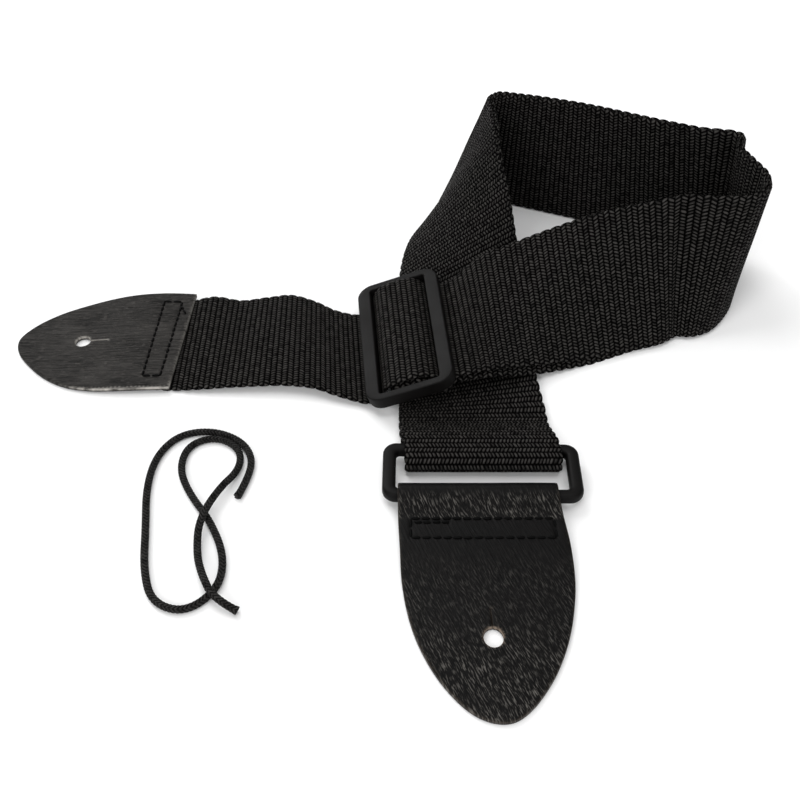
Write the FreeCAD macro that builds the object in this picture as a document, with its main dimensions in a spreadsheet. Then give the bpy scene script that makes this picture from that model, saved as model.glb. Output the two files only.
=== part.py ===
"""Guitar strap of 50 mm webbing, lying folded on a table: two leather end tabs, a three-bar slider,
a rectangular ring and a tie lace.  Millimetres; +Z up; X along the strap's tail; origin under the
middle of the strap."""
import FreeCAD, Part
import Sketcher
import math
import os

Vector = FreeCAD.Vector
doc = FreeCAD.newDocument("guitar_strap")

# ---------------------------------------------------------------- driving dimensions
DIMENSIONS = [
    ("webbing_width", 50.0),        # two-inch class webbing
    ("webbing_thick", 1.4),
    ("layer_pitch", 1.7),           # middle to middle of two layers that lie together
    ("slider_length", 61.0),        # across the webbing
    ("slider_width", 30.6),         # along the webbing
    ("slider_thick", 4.5),
    ("slider_corner", 4.5),
    ("slider_edge_round", 0.9),
    ("slot_length", 55.0),
    ("slot_width", 7.9),
    ("slot_start", 2.5),            # half of the middle bar
    ("middle_bar_thick", 2.4),
    ("ring_length", 62.0),
    ("ring_width", 22.5),
    ("ring_bar", 3.6),
    ("ring_side_bar", 4.2),
    ("ring_corner", 5.5),
    ("ring_edge_round", 1.3),
    ("leather_thick", 2.1),
    ("tab_width", 50.5),
    ("nose_radius", 50.0),
    ("nose_tip_radius", 7.0),
    ("front_straight", 35.7),       # front tab, from the fold to where the nose begins
    ("tail_straight", 17.3),
    ("tail_lap", 12.0),             # webbing under the tail tab
    ("button_hole_radius", 2.9),
    ("button_slit_length", 9.0),
    ("button_slit_width", 0.4),
    ("tail_hole_from_tip", 23.2),
    ("front_hole_from_tip", 25.0),
    ("front_back_flap", 22.0),      # leather folded back under the front tab, to its cut end
    ("bar_clearance", 0.1),         # hinge clearance round the ring's bars
    ("thread_width", 0.7),
    ("thread_height", 0.4),
    ("stitch_length", 2.3),
    ("stitch_pitch", 3.1),
    ("lace_diameter", 2.4),
    ("rest_gap", 0.05),             # lowest faces stand this far above the table plane
]

sheet = doc.addObject("Spreadsheet::Sheet", "dims")
for row, (alias, value) in enumerate(DIMENSIONS, start=1):
    sheet.set("A%d" % row, alias)
    sheet.set("B%d" % row, str(value))
    sheet.setAlias("B%d" % row, alias)
doc.recompute()


def dim(alias):
    """Value of a driving dimension, as the sheet holds it."""
    return float(getattr(sheet, alias))


WIDTH = dim("webbing_width")
THICK = dim("webbing_thick")
PITCH = dim("layer_pitch")
LEATHER = dim("leather_thick")
REST = dim("rest_gap")

# ---------------------------------------------------------------- where things lie
SLIDER_CENTRE = Vector(3.5, 19.0, 10.0)
SLIDER_HEADING = 4.6                # degrees from +X to the slider's short axis, in plan
SLIDER_ROLL = 18.4                  # its right-hand bar stands higher than its left-hand bar

RING_CENTRE_X = 27.5
BACK_BAR_Y = -31.3
BAR_Z = REST + 2 * LEATHER - LEATHER + dim("ring_bar") * 0.5 + 0.3
FRONT_BAR_Y = BACK_BAR_Y - (dim("ring_width") - dim("ring_bar"))
FOLD_SLACK = 4.0                    # the webbing's loop hangs past the back bar by this much
FOLD_START_Y = -14.0                # the front run parts here to go round the ring's back bar

TAIL_SEAM_X = -76.0
TAIL_AXIS_Y = 24.6
FRONT_AXIS_X = 27.2

# A rib is a straight line across the webbing: x, y and z of its lower selvedge, then the heading
# of the rib in plan and its slope, in degrees.  The two layers lie each side of these ribs.
BAND = [
    (36.0, 1.5, 9.0, 95, 12), (50.0, 7.5, 5.3, 95, 22), (63.0, 12.5, 3.2, 96, 31),
    (75.0, 17.0, 1.9, 98, 40), (87.0, 21.3, 1.4, 98, 47), (96.0, 24.4, 1.3, 97, 52),
]
BEND = [
    (102.0, 28.4, 1.2, 86, 56), (107.5, 28.4, 1.1, 74, 57), (114.5, 31.5, 1.1, 62, 59),
    (120.5, 38.0, 1.1, 59, 61), (125.5, 46.5, 0.9, 66, 66), (128.5, 57.0, 0.6, 84, 75),
    (130.0, 69.0, 0.5, 110, 80), (130.4, 80.0, 0.5, 105, 83),
]
BACK = [
    (121.0, 86.0, 0.6, 150, 80), (98.0, 96.0, 0.6, 150, 82), (73.0, 106.0, 0.6, 140, 86),
    (49.0, 116.0, 0.6, 300, 88), (32.5, 122.3, 0.6, 325, 80),
]
RETURN = [
    (22.5, 121.8, 0.8, -15, 72), (18.5, 116.5, 0.8, -11, 66), (15.0, 110.0, 0.9, -10, 60),
    (9.0, 98.0, 1.3, 0, 51), (5.0, 85.0, 1.4, 8, 43), (3.0, 71.0, 1.5, 14, 35),
    (2.0, 56.0, 1.5, 20, 25), (2.0, 41.0, 1.6, 24, 14), (2.0, 24.0, 1.6, 22, 2),
    (2.0, 8.0, 1.6, 18, 0),
]
FRONT = [(2.0, -4.0, 1.6, 10, 0), (2.0, FOLD_START_Y, 1.6, 0, 0)]
TAIL = [
    (-88.0, -0.4, 0.75, 91, 0), (-77.0, -0.4, 0.75, 91, 0), (-67.0, 0.6, 1.9, 91, 1),
    (-57.0, 0.8, 2.8, 91, -2), (-47.0, 0.8, 3.4, 91, -1), (-37.0, 0.2, 3.9, 92, 0),
    (-27.0, -1.6, 3.9, 93, -2), (-18.5, -4.8, 3.0, 94, -2),
]
# The tail run's far selvedge draws in towards the slider: how far, for the last ribs of the run.
TAIL_DRAW_IN = [0.4, 1.2, 2.6, 3.4]
# The inner layer of the band lies a little lower than the outer one: how far, for its first ribs.
INNER_SLIP = [0.5, 2.6, 2.2, 0.9, 0.3, 0.1]

# Route of the tie lace: points of its control polygon, x, y and height of its middle line.
LACE_Z = dim("lace_diameter") / 2 + REST
LACE_OVER = LACE_Z + dim("lace_diameter") + 3.05
LACE_ROUTE = [
    (-48.0, -48.5, LACE_Z), (-45.6, -41.5, LACE_Z), (-44.4, -31.5, LACE_Z), (-49.4, -23.0, LACE_Z),
    (-59.5, -17.9, LACE_Z), (-70.0, -20.4, LACE_Z), (-76.3, -30.5, LACE_Z), (-77.2, -44.0, LACE_Z),
    (-74.5, -60.0, LACE_Z), (-72.3, -75.5, LACE_Z), (-68.0, -86.8, LACE_Z), (-58.0, -90.2, LACE_Z),
    (-49.8, -82.2, LACE_Z), (-49.4, -71.0, LACE_Z), (-55.0, -58.0, LACE_Z), (-63.5, -46.5, LACE_Z),
    (-68.2, -36.0, LACE_Z), (-66.6, -25.8, LACE_Z), (-57.8, -22.4, LACE_Z), (-50.0, -27.2, LACE_Z),
    (-49.4, -36.8, LACE_Z), (-54.0, -47.0, LACE_OVER), (-58.3, -59.0, LACE_OVER),
    (-57.8, -69.6, LACE_Z), (-54.6, -79.0, LACE_OVER), (-50.2, -87.2, LACE_OVER),
    (-43.4, -89.6, LACE_Z),
]


# ---------------------------------------------------------------- sketch helpers
def new_body(name):
    """A PartDesign body and its own XY plane."""
    body = doc.addObject("PartDesign::Body", name)
    plane = [f for f in body.Origin.OriginFeatures if f.Role == "XY_Plane"][0]
    return body, plane


def new_sketch(body, plane, name):
    sketch = body.newObject("Sketcher::SketchObject", name)
    sketch.AttachmentSupport = (plane, [""])
    sketch.MapMode = "FlatFace"
    return sketch


def bind(sketch, kind, geometry, expression, value):
    """Adds a dimension to a sketch and binds it to an expression of the sheet."""
    index = sketch.addConstraint(Sketcher.Constraint(kind, *geometry, value))
    sketch.renameConstraint(index, "size%d" % index)
    sketch.setExpression("Constraints.size%d" % index, expression)


def rectangle(sketch, left, right, half, left_expr, right_expr, height_expr):
    """A rectangle that is symmetric about the sketch's X axis."""
    corners = [(left, -half), (right, -half), (right, half), (left, half)]
    for i in range(4):
        start = Vector(*corners[i], 0)
        end = Vector(*corners[(i + 1) % 4], 0)
        sketch.addGeometry(Part.LineSegment(start, end), False)
    for i in range(4):
        sketch.addConstraint(Sketcher.Constraint("Coincident", i, 2, (i + 1) % 4, 1))
    sketch.addConstraint(Sketcher.Constraint("Horizontal", 0))
    sketch.addConstraint(Sketcher.Constraint("Horizontal", 2))
    sketch.addConstraint(Sketcher.Constraint("Vertical", 1))
    sketch.addConstraint(Sketcher.Constraint("Symmetric", 3, 1, 3, 2, -1))
    bind(sketch, "DistanceX", (-1, 1, 0, 1), left_expr, left)
    bind(sketch, "DistanceX", (-1, 1, 0, 2), right_expr, right)
    bind(sketch, "DistanceY", (1, 1, 1, 2), height_expr, 2 * half)


def pad(body, sketch, name, expression, midplane=True):
    feature = body.newObject("PartDesign::Pad", name)
    feature.Profile = sketch
    feature.SideType = "Symmetric" if midplane else "One side"
    feature.setExpression("Length", expression)
    sketch.Visibility = False
    return feature


def pocket_through(body, sketch, name):
    feature = body.newObject("PartDesign::Pocket", name)
    feature.Profile = sketch
    feature.Type = "ThroughAll"
    feature.SideType = "Symmetric"
    return feature


def edges_where(shape, test):
    """Names of the edges whose middle point passes a test."""
    names = []
    for number, edge in enumerate(shape.Edges, start=1):
        middle = edge.valueAt((edge.FirstParameter + edge.LastParameter) / 2)
        if test(edge, middle):
            names.append("Edge%d" % number)
    return names


def fillet(body, base, names, name, expression):
    feature = body.newObject("PartDesign::Fillet", name)
    feature.Base = (base, names)
    feature.setExpression("Radius", expression)
    return feature


def is_upright(edge, middle):
    tangent = edge.tangentAt((edge.FirstParameter + edge.LastParameter) / 2)
    return abs(tangent.z) > 0.99


# ---------------------------------------------------------------- slider and ring
def slider_axes():
    """Unit vectors of the slider: along the webbing, across it, and out of its face."""
    heading = math.radians(SLIDER_HEADING)
    roll = math.radians(SLIDER_ROLL)
    along = Vector(math.cos(roll) * math.cos(heading), math.cos(roll) * math.sin(heading), math.sin(roll))
    across = Vector(-math.sin(heading), math.cos(heading), 0)
    return along, across, along.cross(across)


def slider_placement():
    along, across, out = slider_axes()
    return FreeCAD.Placement(SLIDER_CENTRE, FreeCAD.Rotation(along, across, out, "ZXY"))


def slider_point(u, v, w):
    """A point given along, across and out of the slider's middle plane."""
    along, across, out = slider_axes()
    return SLIDER_CENTRE + along * u + across * v + out * w


def make_slider():
    body, plane = new_body("slider_frame")
    outline = new_sketch(body, plane, "slider_outline")
    half_width = dim("slider_width") / 2
    half_length = dim("slider_length") / 2
    rectangle(outline, -half_width, half_width, half_length,
              "-dims.slider_width / 2", "dims.slider_width / 2", "dims.slider_length")
    plate = pad(body, outline, "slider_plate", "dims.slider_thick")
    doc.recompute()
    rounded = fillet(body, plate, edges_where(plate.Shape, is_upright), "slider_corners",
                     "dims.slider_corner")
    doc.recompute()
    half_thick = dim("slider_thick") / 2
    rims = edges_where(rounded.Shape, lambda edge, middle: abs(abs(middle.z) - half_thick) < 1e-6)
    fillet(body, rounded, rims, "slider_rims", "dims.slider_edge_round")
    start = dim("slot_start")
    slot = dim("slot_width")
    for side in (1, -1):
        window = new_sketch(body, plane, "slider_slot_%s" % ("right" if side > 0 else "left"))
        low, high = sorted((side * start, side * (start + slot)))
        low_expr = "dims.slot_start" if side > 0 else "-dims.slot_start - dims.slot_width"
        high_expr = "dims.slot_start + dims.slot_width" if side > 0 else "-dims.slot_start"
        rectangle(window, low, high, dim("slot_length") / 2, low_expr, high_expr, "dims.slot_length")
        pocket_through(body, window, window.Name + "_cut")
    relief = new_sketch(body, plane, "middle_bar_relief")
    rectangle(relief, -start - 0.01, start + 0.01, dim("slot_length") / 2,
              "-dims.slot_start - 0.01", "dims.slot_start + 0.01", "dims.slot_length")
    relief.setExpression("AttachmentOffset.Base.z", "dims.middle_bar_thick - dims.slider_thick / 2")
    cut = body.newObject("PartDesign::Pocket", "middle_bar_relief_cut")
    cut.Profile = relief
    cut.Type = "ThroughAll"
    cut.Reversed = True
    doc.recompute()
    body.Placement = slider_placement()
    return body


def make_ring():
    body, plane = new_body("ring_frame")
    outline = new_sketch(body, plane, "ring_outline")
    half_length = dim("ring_length") / 2
    half_width = dim("ring_width") / 2
    rectangle(outline, -half_length, half_length, half_width,
              "-dims.ring_length / 2", "dims.ring_length / 2", "dims.ring_width")
    plate = pad(body, outline, "ring_plate", "dims.ring_bar")
    doc.recompute()
    corners = fillet(body, plate, edges_where(plate.Shape, is_upright), "ring_corners",
                     "dims.ring_corner")
    inside_x = half_length - dim("ring_side_bar")
    inside_y = half_width - dim("ring_bar")
    window = new_sketch(body, plane, "ring_window")
    rectangle(window, -inside_x, inside_x, inside_y,
              "-dims.ring_length / 2 + dims.ring_side_bar",
              "dims.ring_length / 2 - dims.ring_side_bar",
              "dims.ring_width - 2 * dims.ring_bar")
    opened = pocket_through(body, window, "ring_window_cut")
    doc.recompute()
    half_bar = dim("ring_bar") / 2
    rims = edges_where(opened.Shape, lambda edge, middle: abs(abs(middle.z) - half_bar) < 1e-6)
    fillet(body, opened, rims, "ring_rims", "dims.ring_edge_round")
    doc.recompute()
    centre = Vector(RING_CENTRE_X, (BACK_BAR_Y + FRONT_BAR_Y) / 2, BAR_Z)
    body.Placement = FreeCAD.Placement(centre, FreeCAD.Rotation())
    return body


# ---------------------------------------------------------------- webbing that lies in curves
def rib_points(rib):
    """Lower and upper selvedge points of a rib."""
    x, y, z, heading, slope = rib
    heading, slope = math.radians(heading), math.radians(slope)
    across = Vector(math.cos(slope) * math.cos(heading), math.cos(slope) * math.sin(heading),
                    math.sin(slope))
    low = Vector(x, y, z)
    return low, low + across * WIDTH


def slider_rib(u, w):
    """The rib where the webbing leaves the slider."""
    half = WIDTH / 2
    return slider_point(u, -half, w), slider_point(u, half, w)


def ribbon_sections(ribs, offset, slip=()):
    """Rectangles across the webbing, a distance to the outer side of each rib; slip moves the first
    ones towards their lower end."""
    middles = [(low + high) * 0.5 for low, high in ribs]
    last = len(ribs) - 1
    sections = []
    for i, (low, high) in enumerate(ribs):
        across = (high - low).normalize()
        before = (middles[i] - middles[max(i - 1, 0)])
        after = (middles[min(i + 1, last)] - middles[i])
        runs = [run.normalize() for run in (before, after) if run.Length > 0]
        ahead = Vector()
        for run in runs:
            ahead = ahead + run
        ahead.normalize()
        outward = ahead.cross(across).normalize()
        mitre = 1.0 / max(0.75, ahead.dot(runs[0]))
        inner = outward * (offset - THICK / 2) * mitre
        outer = outward * (offset + THICK / 2) * mitre
        if i < len(slip):
            low = low - across * slip[i]
            high = high - across * slip[i]
        sections.append([low + inner, high + inner, high + outer, low + outer])
    return sections


def ruled_solid(sections):
    wires = [Part.makePolygon(corners + corners[:1]) for corners in sections]
    return Part.makeLoft(wires, True, True)


def add_shape(name, shape):
    feature = doc.addObject("Part::Feature", name)
    feature.Shape = shape
    return feature


def make_curved_webbing():
    """Both layers of the loop, from the slider's right-hand bar to the ring."""
    start = [slider_rib(dim("slider_width") / 2 + 0.5, -(dim("slider_thick") + PITCH + THICK) / 2 - 0.15)]
    stretches = [
        ("band", start + [rib_points(r) for r in BAND]),
        ("bend", [rib_points(r) for r in BEND]),
        ("back", [rib_points(r) for r in BACK]),
        ("return", [rib_points(r) for r in RETURN]),
        ("front", [rib_points(r) for r in FRONT]),
    ]
    every = [rib for _, ribs in stretches for rib in ribs]
    parts = []
    for layer, side, slip in (("outer", 0.5, ()), ("inner", -0.5, INNER_SLIP)):
        sections = ribbon_sections(every, side * PITCH, slip)
        first = 0
        for name, ribs in stretches:
            stop = min(first + len(ribs) + 1, len(every))
            parts.append(add_shape("webbing_%s_%s" % (layer, name), ruled_solid(sections[first:stop])))
            first += len(ribs)
    return parts


def make_tail_run():
    end = slider_rib(-dim("slider_width") / 2 - 0.5, -(dim("slider_thick") + THICK) / 2 - 0.15)
    ribs = [rib_points(r) for r in TAIL] + [end]
    for i, draw in enumerate(TAIL_DRAW_IN, start=len(ribs) - len(TAIL_DRAW_IN)):
        low, high = ribs[i]
        ribs[i] = (low, high - (high - low).normalize() * draw)
    return add_shape("webbing_tail_run", ruled_solid(ribbon_sections(ribs, 0.0)))


# ---------------------------------------------------------------- webbing folded to a profile
def thick_line(points, thick):
    """Closed outline of a strip that follows straight runs, with mitred corners."""
    sides = ([], [])
    last = len(points) - 1
    for i, (x, y) in enumerate(points):
        runs = []
        if i > 0:
            runs.append((x - points[i - 1][0], y - points[i - 1][1]))
        if i < last:
            runs.append((points[i + 1][0] - x, points[i + 1][1] - y))
        normals = [(-dy / math.hypot(dx, dy), dx / math.hypot(dx, dy)) for dx, dy in runs]
        nx = sum(n[0] for n in normals)
        ny = sum(n[1] for n in normals)
        scale = 1.0 / (nx * normals[0][0] + ny * normals[0][1])
        for side, sign in zip(sides, (1, -1)):
            side.append((x + sign * nx * scale * thick / 2, y + sign * ny * scale * thick / 2))
    return sides[0] + sides[1][::-1]


def slider_strip(points):
    """A strip of webbing that follows a profile in the slider's own frame."""
    half = WIDTH / 2
    corners = [Vector(u, -half, w) for u, w in thick_line(points, THICK)]
    face = Part.Face(Part.makePolygon(corners + corners[:1]))
    shape = face.extrude(Vector(0, WIDTH, 0))
    return shape


def make_slider_webbing():
    """The run over the middle bar, and the end that is sewn round that bar."""
    edge = dim("slider_width") / 2 + 0.2
    under = -(dim("slider_thick") + THICK) / 2 - 0.15
    over = 2.7
    hump = [(-edge, under), (-9.9, under), (-4.1, over), (4.4, over), (9.8, under), (edge, under)]
    bar_top = dim("middle_bar_thick") - dim("slider_thick") / 2
    eye_top = bar_top + THICK / 2 + 0.1
    eye_left = -dim("slot_start") - THICK / 2 - 0.1
    eye_low = -(dim("slider_thick") + THICK) / 2 - 0.1
    end_low = under - PITCH - THICK - 0.1
    sewn = [(edge, under - PITCH), (9.26, under - PITCH), (3.91, eye_top), (eye_left, eye_top),
            (eye_left, eye_low), (1.8, eye_low), (7.3, end_low), (edge - 0.2, end_low)]
    parts = []
    for name, points in (("webbing_slider_hump", hump), ("webbing_sewn_end", sewn)):
        part = add_shape(name, slider_strip(points))
        part.Placement = slider_placement()
        parts.append(part)
    return parts


def tangent_point(point, centre, radius, side):
    """Where a straight line from a point touches a circle, on one side of it (+1 above, -1 below)."""
    dy, dz = point[0] - centre[0], point[1] - centre[1]
    reach = math.hypot(dy, dz)
    base = math.atan2(dz, dy)
    turn = math.acos(radius / reach)
    candidates = [base + turn, base - turn]
    spots = [(centre[0] + radius * math.cos(a), centre[1] + radius * math.sin(a)) for a in candidates]
    return max(spots, key=lambda spot: side * spot[1])


def fold_face(centre, inner_radius, thick, upper, lower, x):
    """Side view of a strip that goes round a bar.  upper and lower are lists of (y, z) pairs, from
    the strip's two ends to the bar: the outer side's points first, then the inner side's."""
    outer_radius = inner_radius + thick
    ahead = 1 if upper[0][-1][0] < centre[0] else -1
    touch = {}
    for key, radius, points, side in (("uo", outer_radius, upper[0], 1), ("ui", inner_radius, upper[1], 1),
                                      ("lo", outer_radius, lower[0], -1), ("li", inner_radius, lower[1], -1)):
        touch[key] = tangent_point(points[-1], centre, radius, side)
    spot = {r: (centre[0] + ahead * r, centre[1]) for r in (outer_radius, inner_radius)}

    def point(pair):
        return Vector(x, pair[0], pair[1])

    edges = []

    def run(pairs):
        for a, b in zip(pairs, pairs[1:]):
            edges.append(Part.LineSegment(point(a), point(b)).toShape())

    run(upper[0] + [touch["uo"]])
    edges.append(Part.Arc(point(touch["uo"]), point(spot[outer_radius]), point(touch["lo"])).toShape())
    run([touch["lo"]] + lower[0][::-1])
    run([lower[0][0], lower[1][0]])
    run(lower[1] + [touch["li"]])
    edges.append(Part.Arc(point(touch["li"]), point(spot[inner_radius]), point(touch["ui"])).toShape())
    run([touch["ui"]] + upper[1][::-1])
    run([upper[1][0], upper[0][0]])
    return Part.Face(Part.Wire(edges))


def make_ring_fold():
    """Webbing from the end of the front run round the ring's back bar and back again."""
    x, y, z, _, _ = FRONT[-1]
    upper_mid = z + PITCH / 2
    lower_mid = z - PITCH / 2
    inner = dim("ring_bar") / 2 * 1.12 + dim("bar_clearance")
    bar_y = BACK_BAR_Y + 2.0
    top, base = BAR_Z + inner, BAR_Z - inner
    upper = ([(y, upper_mid + THICK / 2), (bar_y, top + THICK)], [(y, upper_mid - THICK / 2), (bar_y, top)])
    lower = ([(y, lower_mid - THICK / 2), (bar_y, base - THICK)], [(y, lower_mid + THICK / 2), (bar_y, base)])
    face = fold_face((BACK_BAR_Y - FOLD_SLACK, BAR_Z), inner, THICK, upper, lower, x)
    return add_shape("webbing_ring_fold", face.extrude(Vector(WIDTH, 0, 0)))


# ---------------------------------------------------------------- leather tabs
def tab_outline(name, straight_alias):
    """Plan of a tab: straight sides from its square end, then two arcs to a rounded point on +X."""
    body, plane = new_body(name)
    sketch = new_sketch(body, plane, name + "_sketch")
    half = dim("tab_width") / 2
    straight = dim(straight_alias)
    big, tip = dim("nose_radius"), dim("nose_tip_radius")
    drop = big - half
    tip_x = straight + math.sqrt((big - tip) ** 2 - drop ** 2)
    ux, uy = (tip_x - straight) / (big - tip), drop / (big - tip)
    touch = (straight + big * ux, -drop + big * uy)
    side_angle = math.atan2(uy, ux)
    sketch.addGeometry(Part.LineSegment(Vector(0, half, 0), Vector(0, -half, 0)), False)
    sketch.addGeometry(Part.LineSegment(Vector(0, -half, 0), Vector(straight, -half, 0)), False)
    lower = Part.Circle(Vector(straight, drop, 0), Vector(0, 0, 1), big)
    sketch.addGeometry(Part.ArcOfCircle(lower, -math.pi / 2, -side_angle), False)
    point = Part.Circle(Vector(tip_x, 0, 0), Vector(0, 0, 1), tip)
    sketch.addGeometry(Part.ArcOfCircle(point, -side_angle, side_angle), False)
    upper = Part.Circle(Vector(straight, -drop, 0), Vector(0, 0, 1), big)
    sketch.addGeometry(Part.ArcOfCircle(upper, side_angle, math.pi / 2), False)
    sketch.addGeometry(Part.LineSegment(Vector(straight, half, 0), Vector(0, half, 0)), False)
    sketch.addConstraint(Sketcher.Constraint("Coincident", 0, 2, 1, 1))
    sketch.addConstraint(Sketcher.Constraint("Tangent", 1, 2, 2, 1))
    sketch.addConstraint(Sketcher.Constraint("Tangent", 2, 2, 3, 1))
    sketch.addConstraint(Sketcher.Constraint("Tangent", 3, 2, 4, 1))
    sketch.addConstraint(Sketcher.Constraint("Tangent", 4, 2, 5, 1))
    sketch.addConstraint(Sketcher.Constraint("Coincident", 5, 2, 0, 1))
    sketch.addConstraint(Sketcher.Constraint("Symmetric", 0, 1, 0, 2, -1, 1))
    sketch.addConstraint(Sketcher.Constraint("Horizontal", 1))
    sketch.addConstraint(Sketcher.Constraint("Horizontal", 5))
    bind(sketch, "Distance", (0,), "dims.tab_width", dim("tab_width"))
    bind(sketch, "Distance", (1,), "dims." + straight_alias, straight)
    bind(sketch, "Radius", (2,), "dims.nose_radius", big)
    bind(sketch, "Radius", (4,), "dims.nose_radius", big)
    bind(sketch, "Radius", (3,), "dims.nose_tip_radius", tip)
    feature = pad(body, sketch, name + "_pad", "10 * dims.leather_thick")
    doc.recompute()
    assert touch[0] < tip_x + tip
    return body, tip_x + tip


def make_tab(name, end, profile_shape, placement):
    """Leather with a side view that profile_shape gives and a plan that the outline gives."""
    body, length = tab_outline(name + "_outline", end + "_straight")
    body.Placement = placement
    profile = add_shape(name + "_profile", profile_shape)
    blank = doc.addObject("Part::Common", name + "_blank")
    blank.Base = body
    blank.Tool = profile
    hole = doc.addObject("Part::Cylinder", name + "_hole")
    hole.setExpression("Radius", "dims.button_hole_radius")
    hole.setExpression("Height", "12 * dims.leather_thick")
    reach = length - dim(end + "_hole_from_tip")
    low = Vector(reach, 0, -6 * LEATHER)
    hole.Placement = placement * FreeCAD.Placement(low, FreeCAD.Rotation())
    slit = doc.addObject("Part::Box", name + "_slit")
    slit.setExpression("Length", "dims.button_slit_length")
    slit.setExpression("Width", "dims.button_slit_width")
    slit.setExpression("Height", "12 * dims.leather_thick")
    corner = Vector(reach - dim("button_slit_length"), -dim("button_slit_width") / 2, -6 * LEATHER)
    slit.Placement = placement * FreeCAD.Placement(corner, FreeCAD.Rotation())
    pierced = doc.addObject("Part::Cut", name + "_pierced")
    pierced.Base = blank
    pierced.Tool = hole
    leather = doc.addObject("Part::Cut", name)
    leather.Base = pierced
    leather.Tool = slit
    doc.recompute()
    return leather


def make_tail_tab():
    """Flat on the table, stepped up over the webbing's end."""
    step = REST + THICK + 0.1
    seam, lap = TAIL_SEAM_X, TAIL_SEAM_X - dim("tail_lap") - 1.0
    toe = TAIL_SEAM_X - 70.0
    low = [(seam, step), (lap, step), (lap - 6.0, REST), (toe, REST)]
    middle = [(x, z + LEATHER / 2) for x, z in low]
    outline = [Vector(x, 0, z) for x, z in thick_line(middle, LEATHER)]
    face = Part.Face(Part.makePolygon(outline + outline[:1]))
    face.translate(Vector(0, TAIL_AXIS_Y - 40.0, 0))
    turned = FreeCAD.Placement(Vector(TAIL_SEAM_X, TAIL_AXIS_Y, 0), FreeCAD.Rotation(Vector(0, 0, 1), 180))
    return make_tab("tail_tab_leather", "tail", face.extrude(Vector(0, 80.0, 0)), turned)


def make_front_tab():
    """Folded round the ring's front bar, stitched to its own back flap, then down to the table."""
    inner = dim("ring_bar") / 2 * 1.12 + dim("bar_clearance")
    flap_end = FRONT_BAR_Y + inner + LEATHER - dim("front_back_flap")
    high = REST + 2 * LEATHER + 0.1
    toe = FRONT_BAR_Y - 100.0
    upper_inner = [(toe, REST), (flap_end - 9.0, REST), (flap_end - 1.0, high - LEATHER),
                   (FRONT_BAR_Y - 7.5, high - LEATHER)]
    upper_outer = [(toe, REST + LEATHER), (flap_end - 9.0, REST + LEATHER), (flap_end - 1.0, high),
                   (FRONT_BAR_Y - 7.5, high)]
    lower_outer = [(flap_end, REST)]
    lower_inner = [(flap_end, REST + LEATHER)]
    face = fold_face((FRONT_BAR_Y, BAR_Z), inner, LEATHER, (upper_outer, upper_inner),
                     (lower_outer, lower_inner), FRONT_AXIS_X - 40.0)
    fold_edge = FRONT_BAR_Y + inner + LEATHER
    turned = FreeCAD.Placement(Vector(FRONT_AXIS_X, fold_edge + 0.5, 0),
                               FreeCAD.Rotation(Vector(0, 0, 1), -90))
    return make_tab("front_tab_leather", "front", face.extrude(Vector(80.0, 0, 0)), turned)


# ---------------------------------------------------------------- stitching
def stitch_line(start, end, out):
    """Short bars of thread from one point to another, lying on a surface that faces out."""
    along = end - start
    count = max(2, int(round(along.Length / dim("stitch_pitch"))))
    along.normalize()
    side = out.cross(along).normalize()
    pitch = (end - start).Length / count
    solids = []
    for i in range(count):
        middle = start + along * (pitch * (i + 0.5))
        length = min(dim("stitch_length"), pitch * 0.75)
        bar = Part.makeBox(length, dim("thread_width"), dim("thread_height"),
                           Vector(-length / 2, -dim("thread_width") / 2, 0))
        bar.Placement = FreeCAD.Placement(middle, FreeCAD.Rotation(along, side, out, "ZXY"))
        solids.append(bar)
    return solids


def box_stitch(name, corners, out, extra=()):
    """A closed box of stitches, with short lines of back-tacking."""
    solids = []
    for start, end in zip(corners, corners[1:] + corners[:1]):
        solids += stitch_line(start, end, out)
    for start, end in extra:
        solids += stitch_line(start, end, out)
    return add_shape(name, Part.makeCompound(solids))


def make_stitching():
    up = Vector(0, 0, 1)
    z = REST + THICK + 0.1 + LEATHER + 0.02
    tail_box = [Vector(TAIL_SEAM_X - x, TAIL_AXIS_Y + y, z) for x, y in
                ((4.6, 18.5), (4.6, -20.5), (10.4, -20.5), (10.4, 18.5))]
    tack = [(Vector(TAIL_SEAM_X - 3.6, TAIL_AXIS_Y + 20.0, z), Vector(TAIL_SEAM_X - 0.8, TAIL_AXIS_Y + 14.5, z))]
    parts = [box_stitch("tail_tab_stitching", tail_box, up, tack)]
    z = REST + 2 * LEATHER + 0.12
    y = FRONT_BAR_Y + dim("ring_bar") / 2 + LEATHER
    front_box = [Vector(FRONT_AXIS_X + x, y - d, z) for x, d in
                 ((-21.0, 12.8), (21.0, 12.8), (21.0, 19.8), (-21.0, 19.8))]
    tack = [(Vector(FRONT_AXIS_X - 20.0, y - 14.0, z), Vector(FRONT_AXIS_X - 9.0, y - 14.0, z))]
    parts.append(box_stitch("front_tab_stitching", front_box, up, tack))
    out = Vector(0, 0, -1)
    under = -(dim("slider_thick") + THICK) / 2 - 0.15 - PITCH - 1.5 * THICK - 0.12
    edge = dim("slider_width") / 2
    sewn_box = [Vector(u, v, under) for u, v in
                ((edge - 5.8, -21.0), (edge - 1.0, -21.0), (edge - 1.0, 21.0), (edge - 5.8, 21.0))]
    sewn = box_stitch("sewn_end_stitching", sewn_box, out)
    sewn.Placement = slider_placement()
    parts.append(sewn)
    return parts


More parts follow.
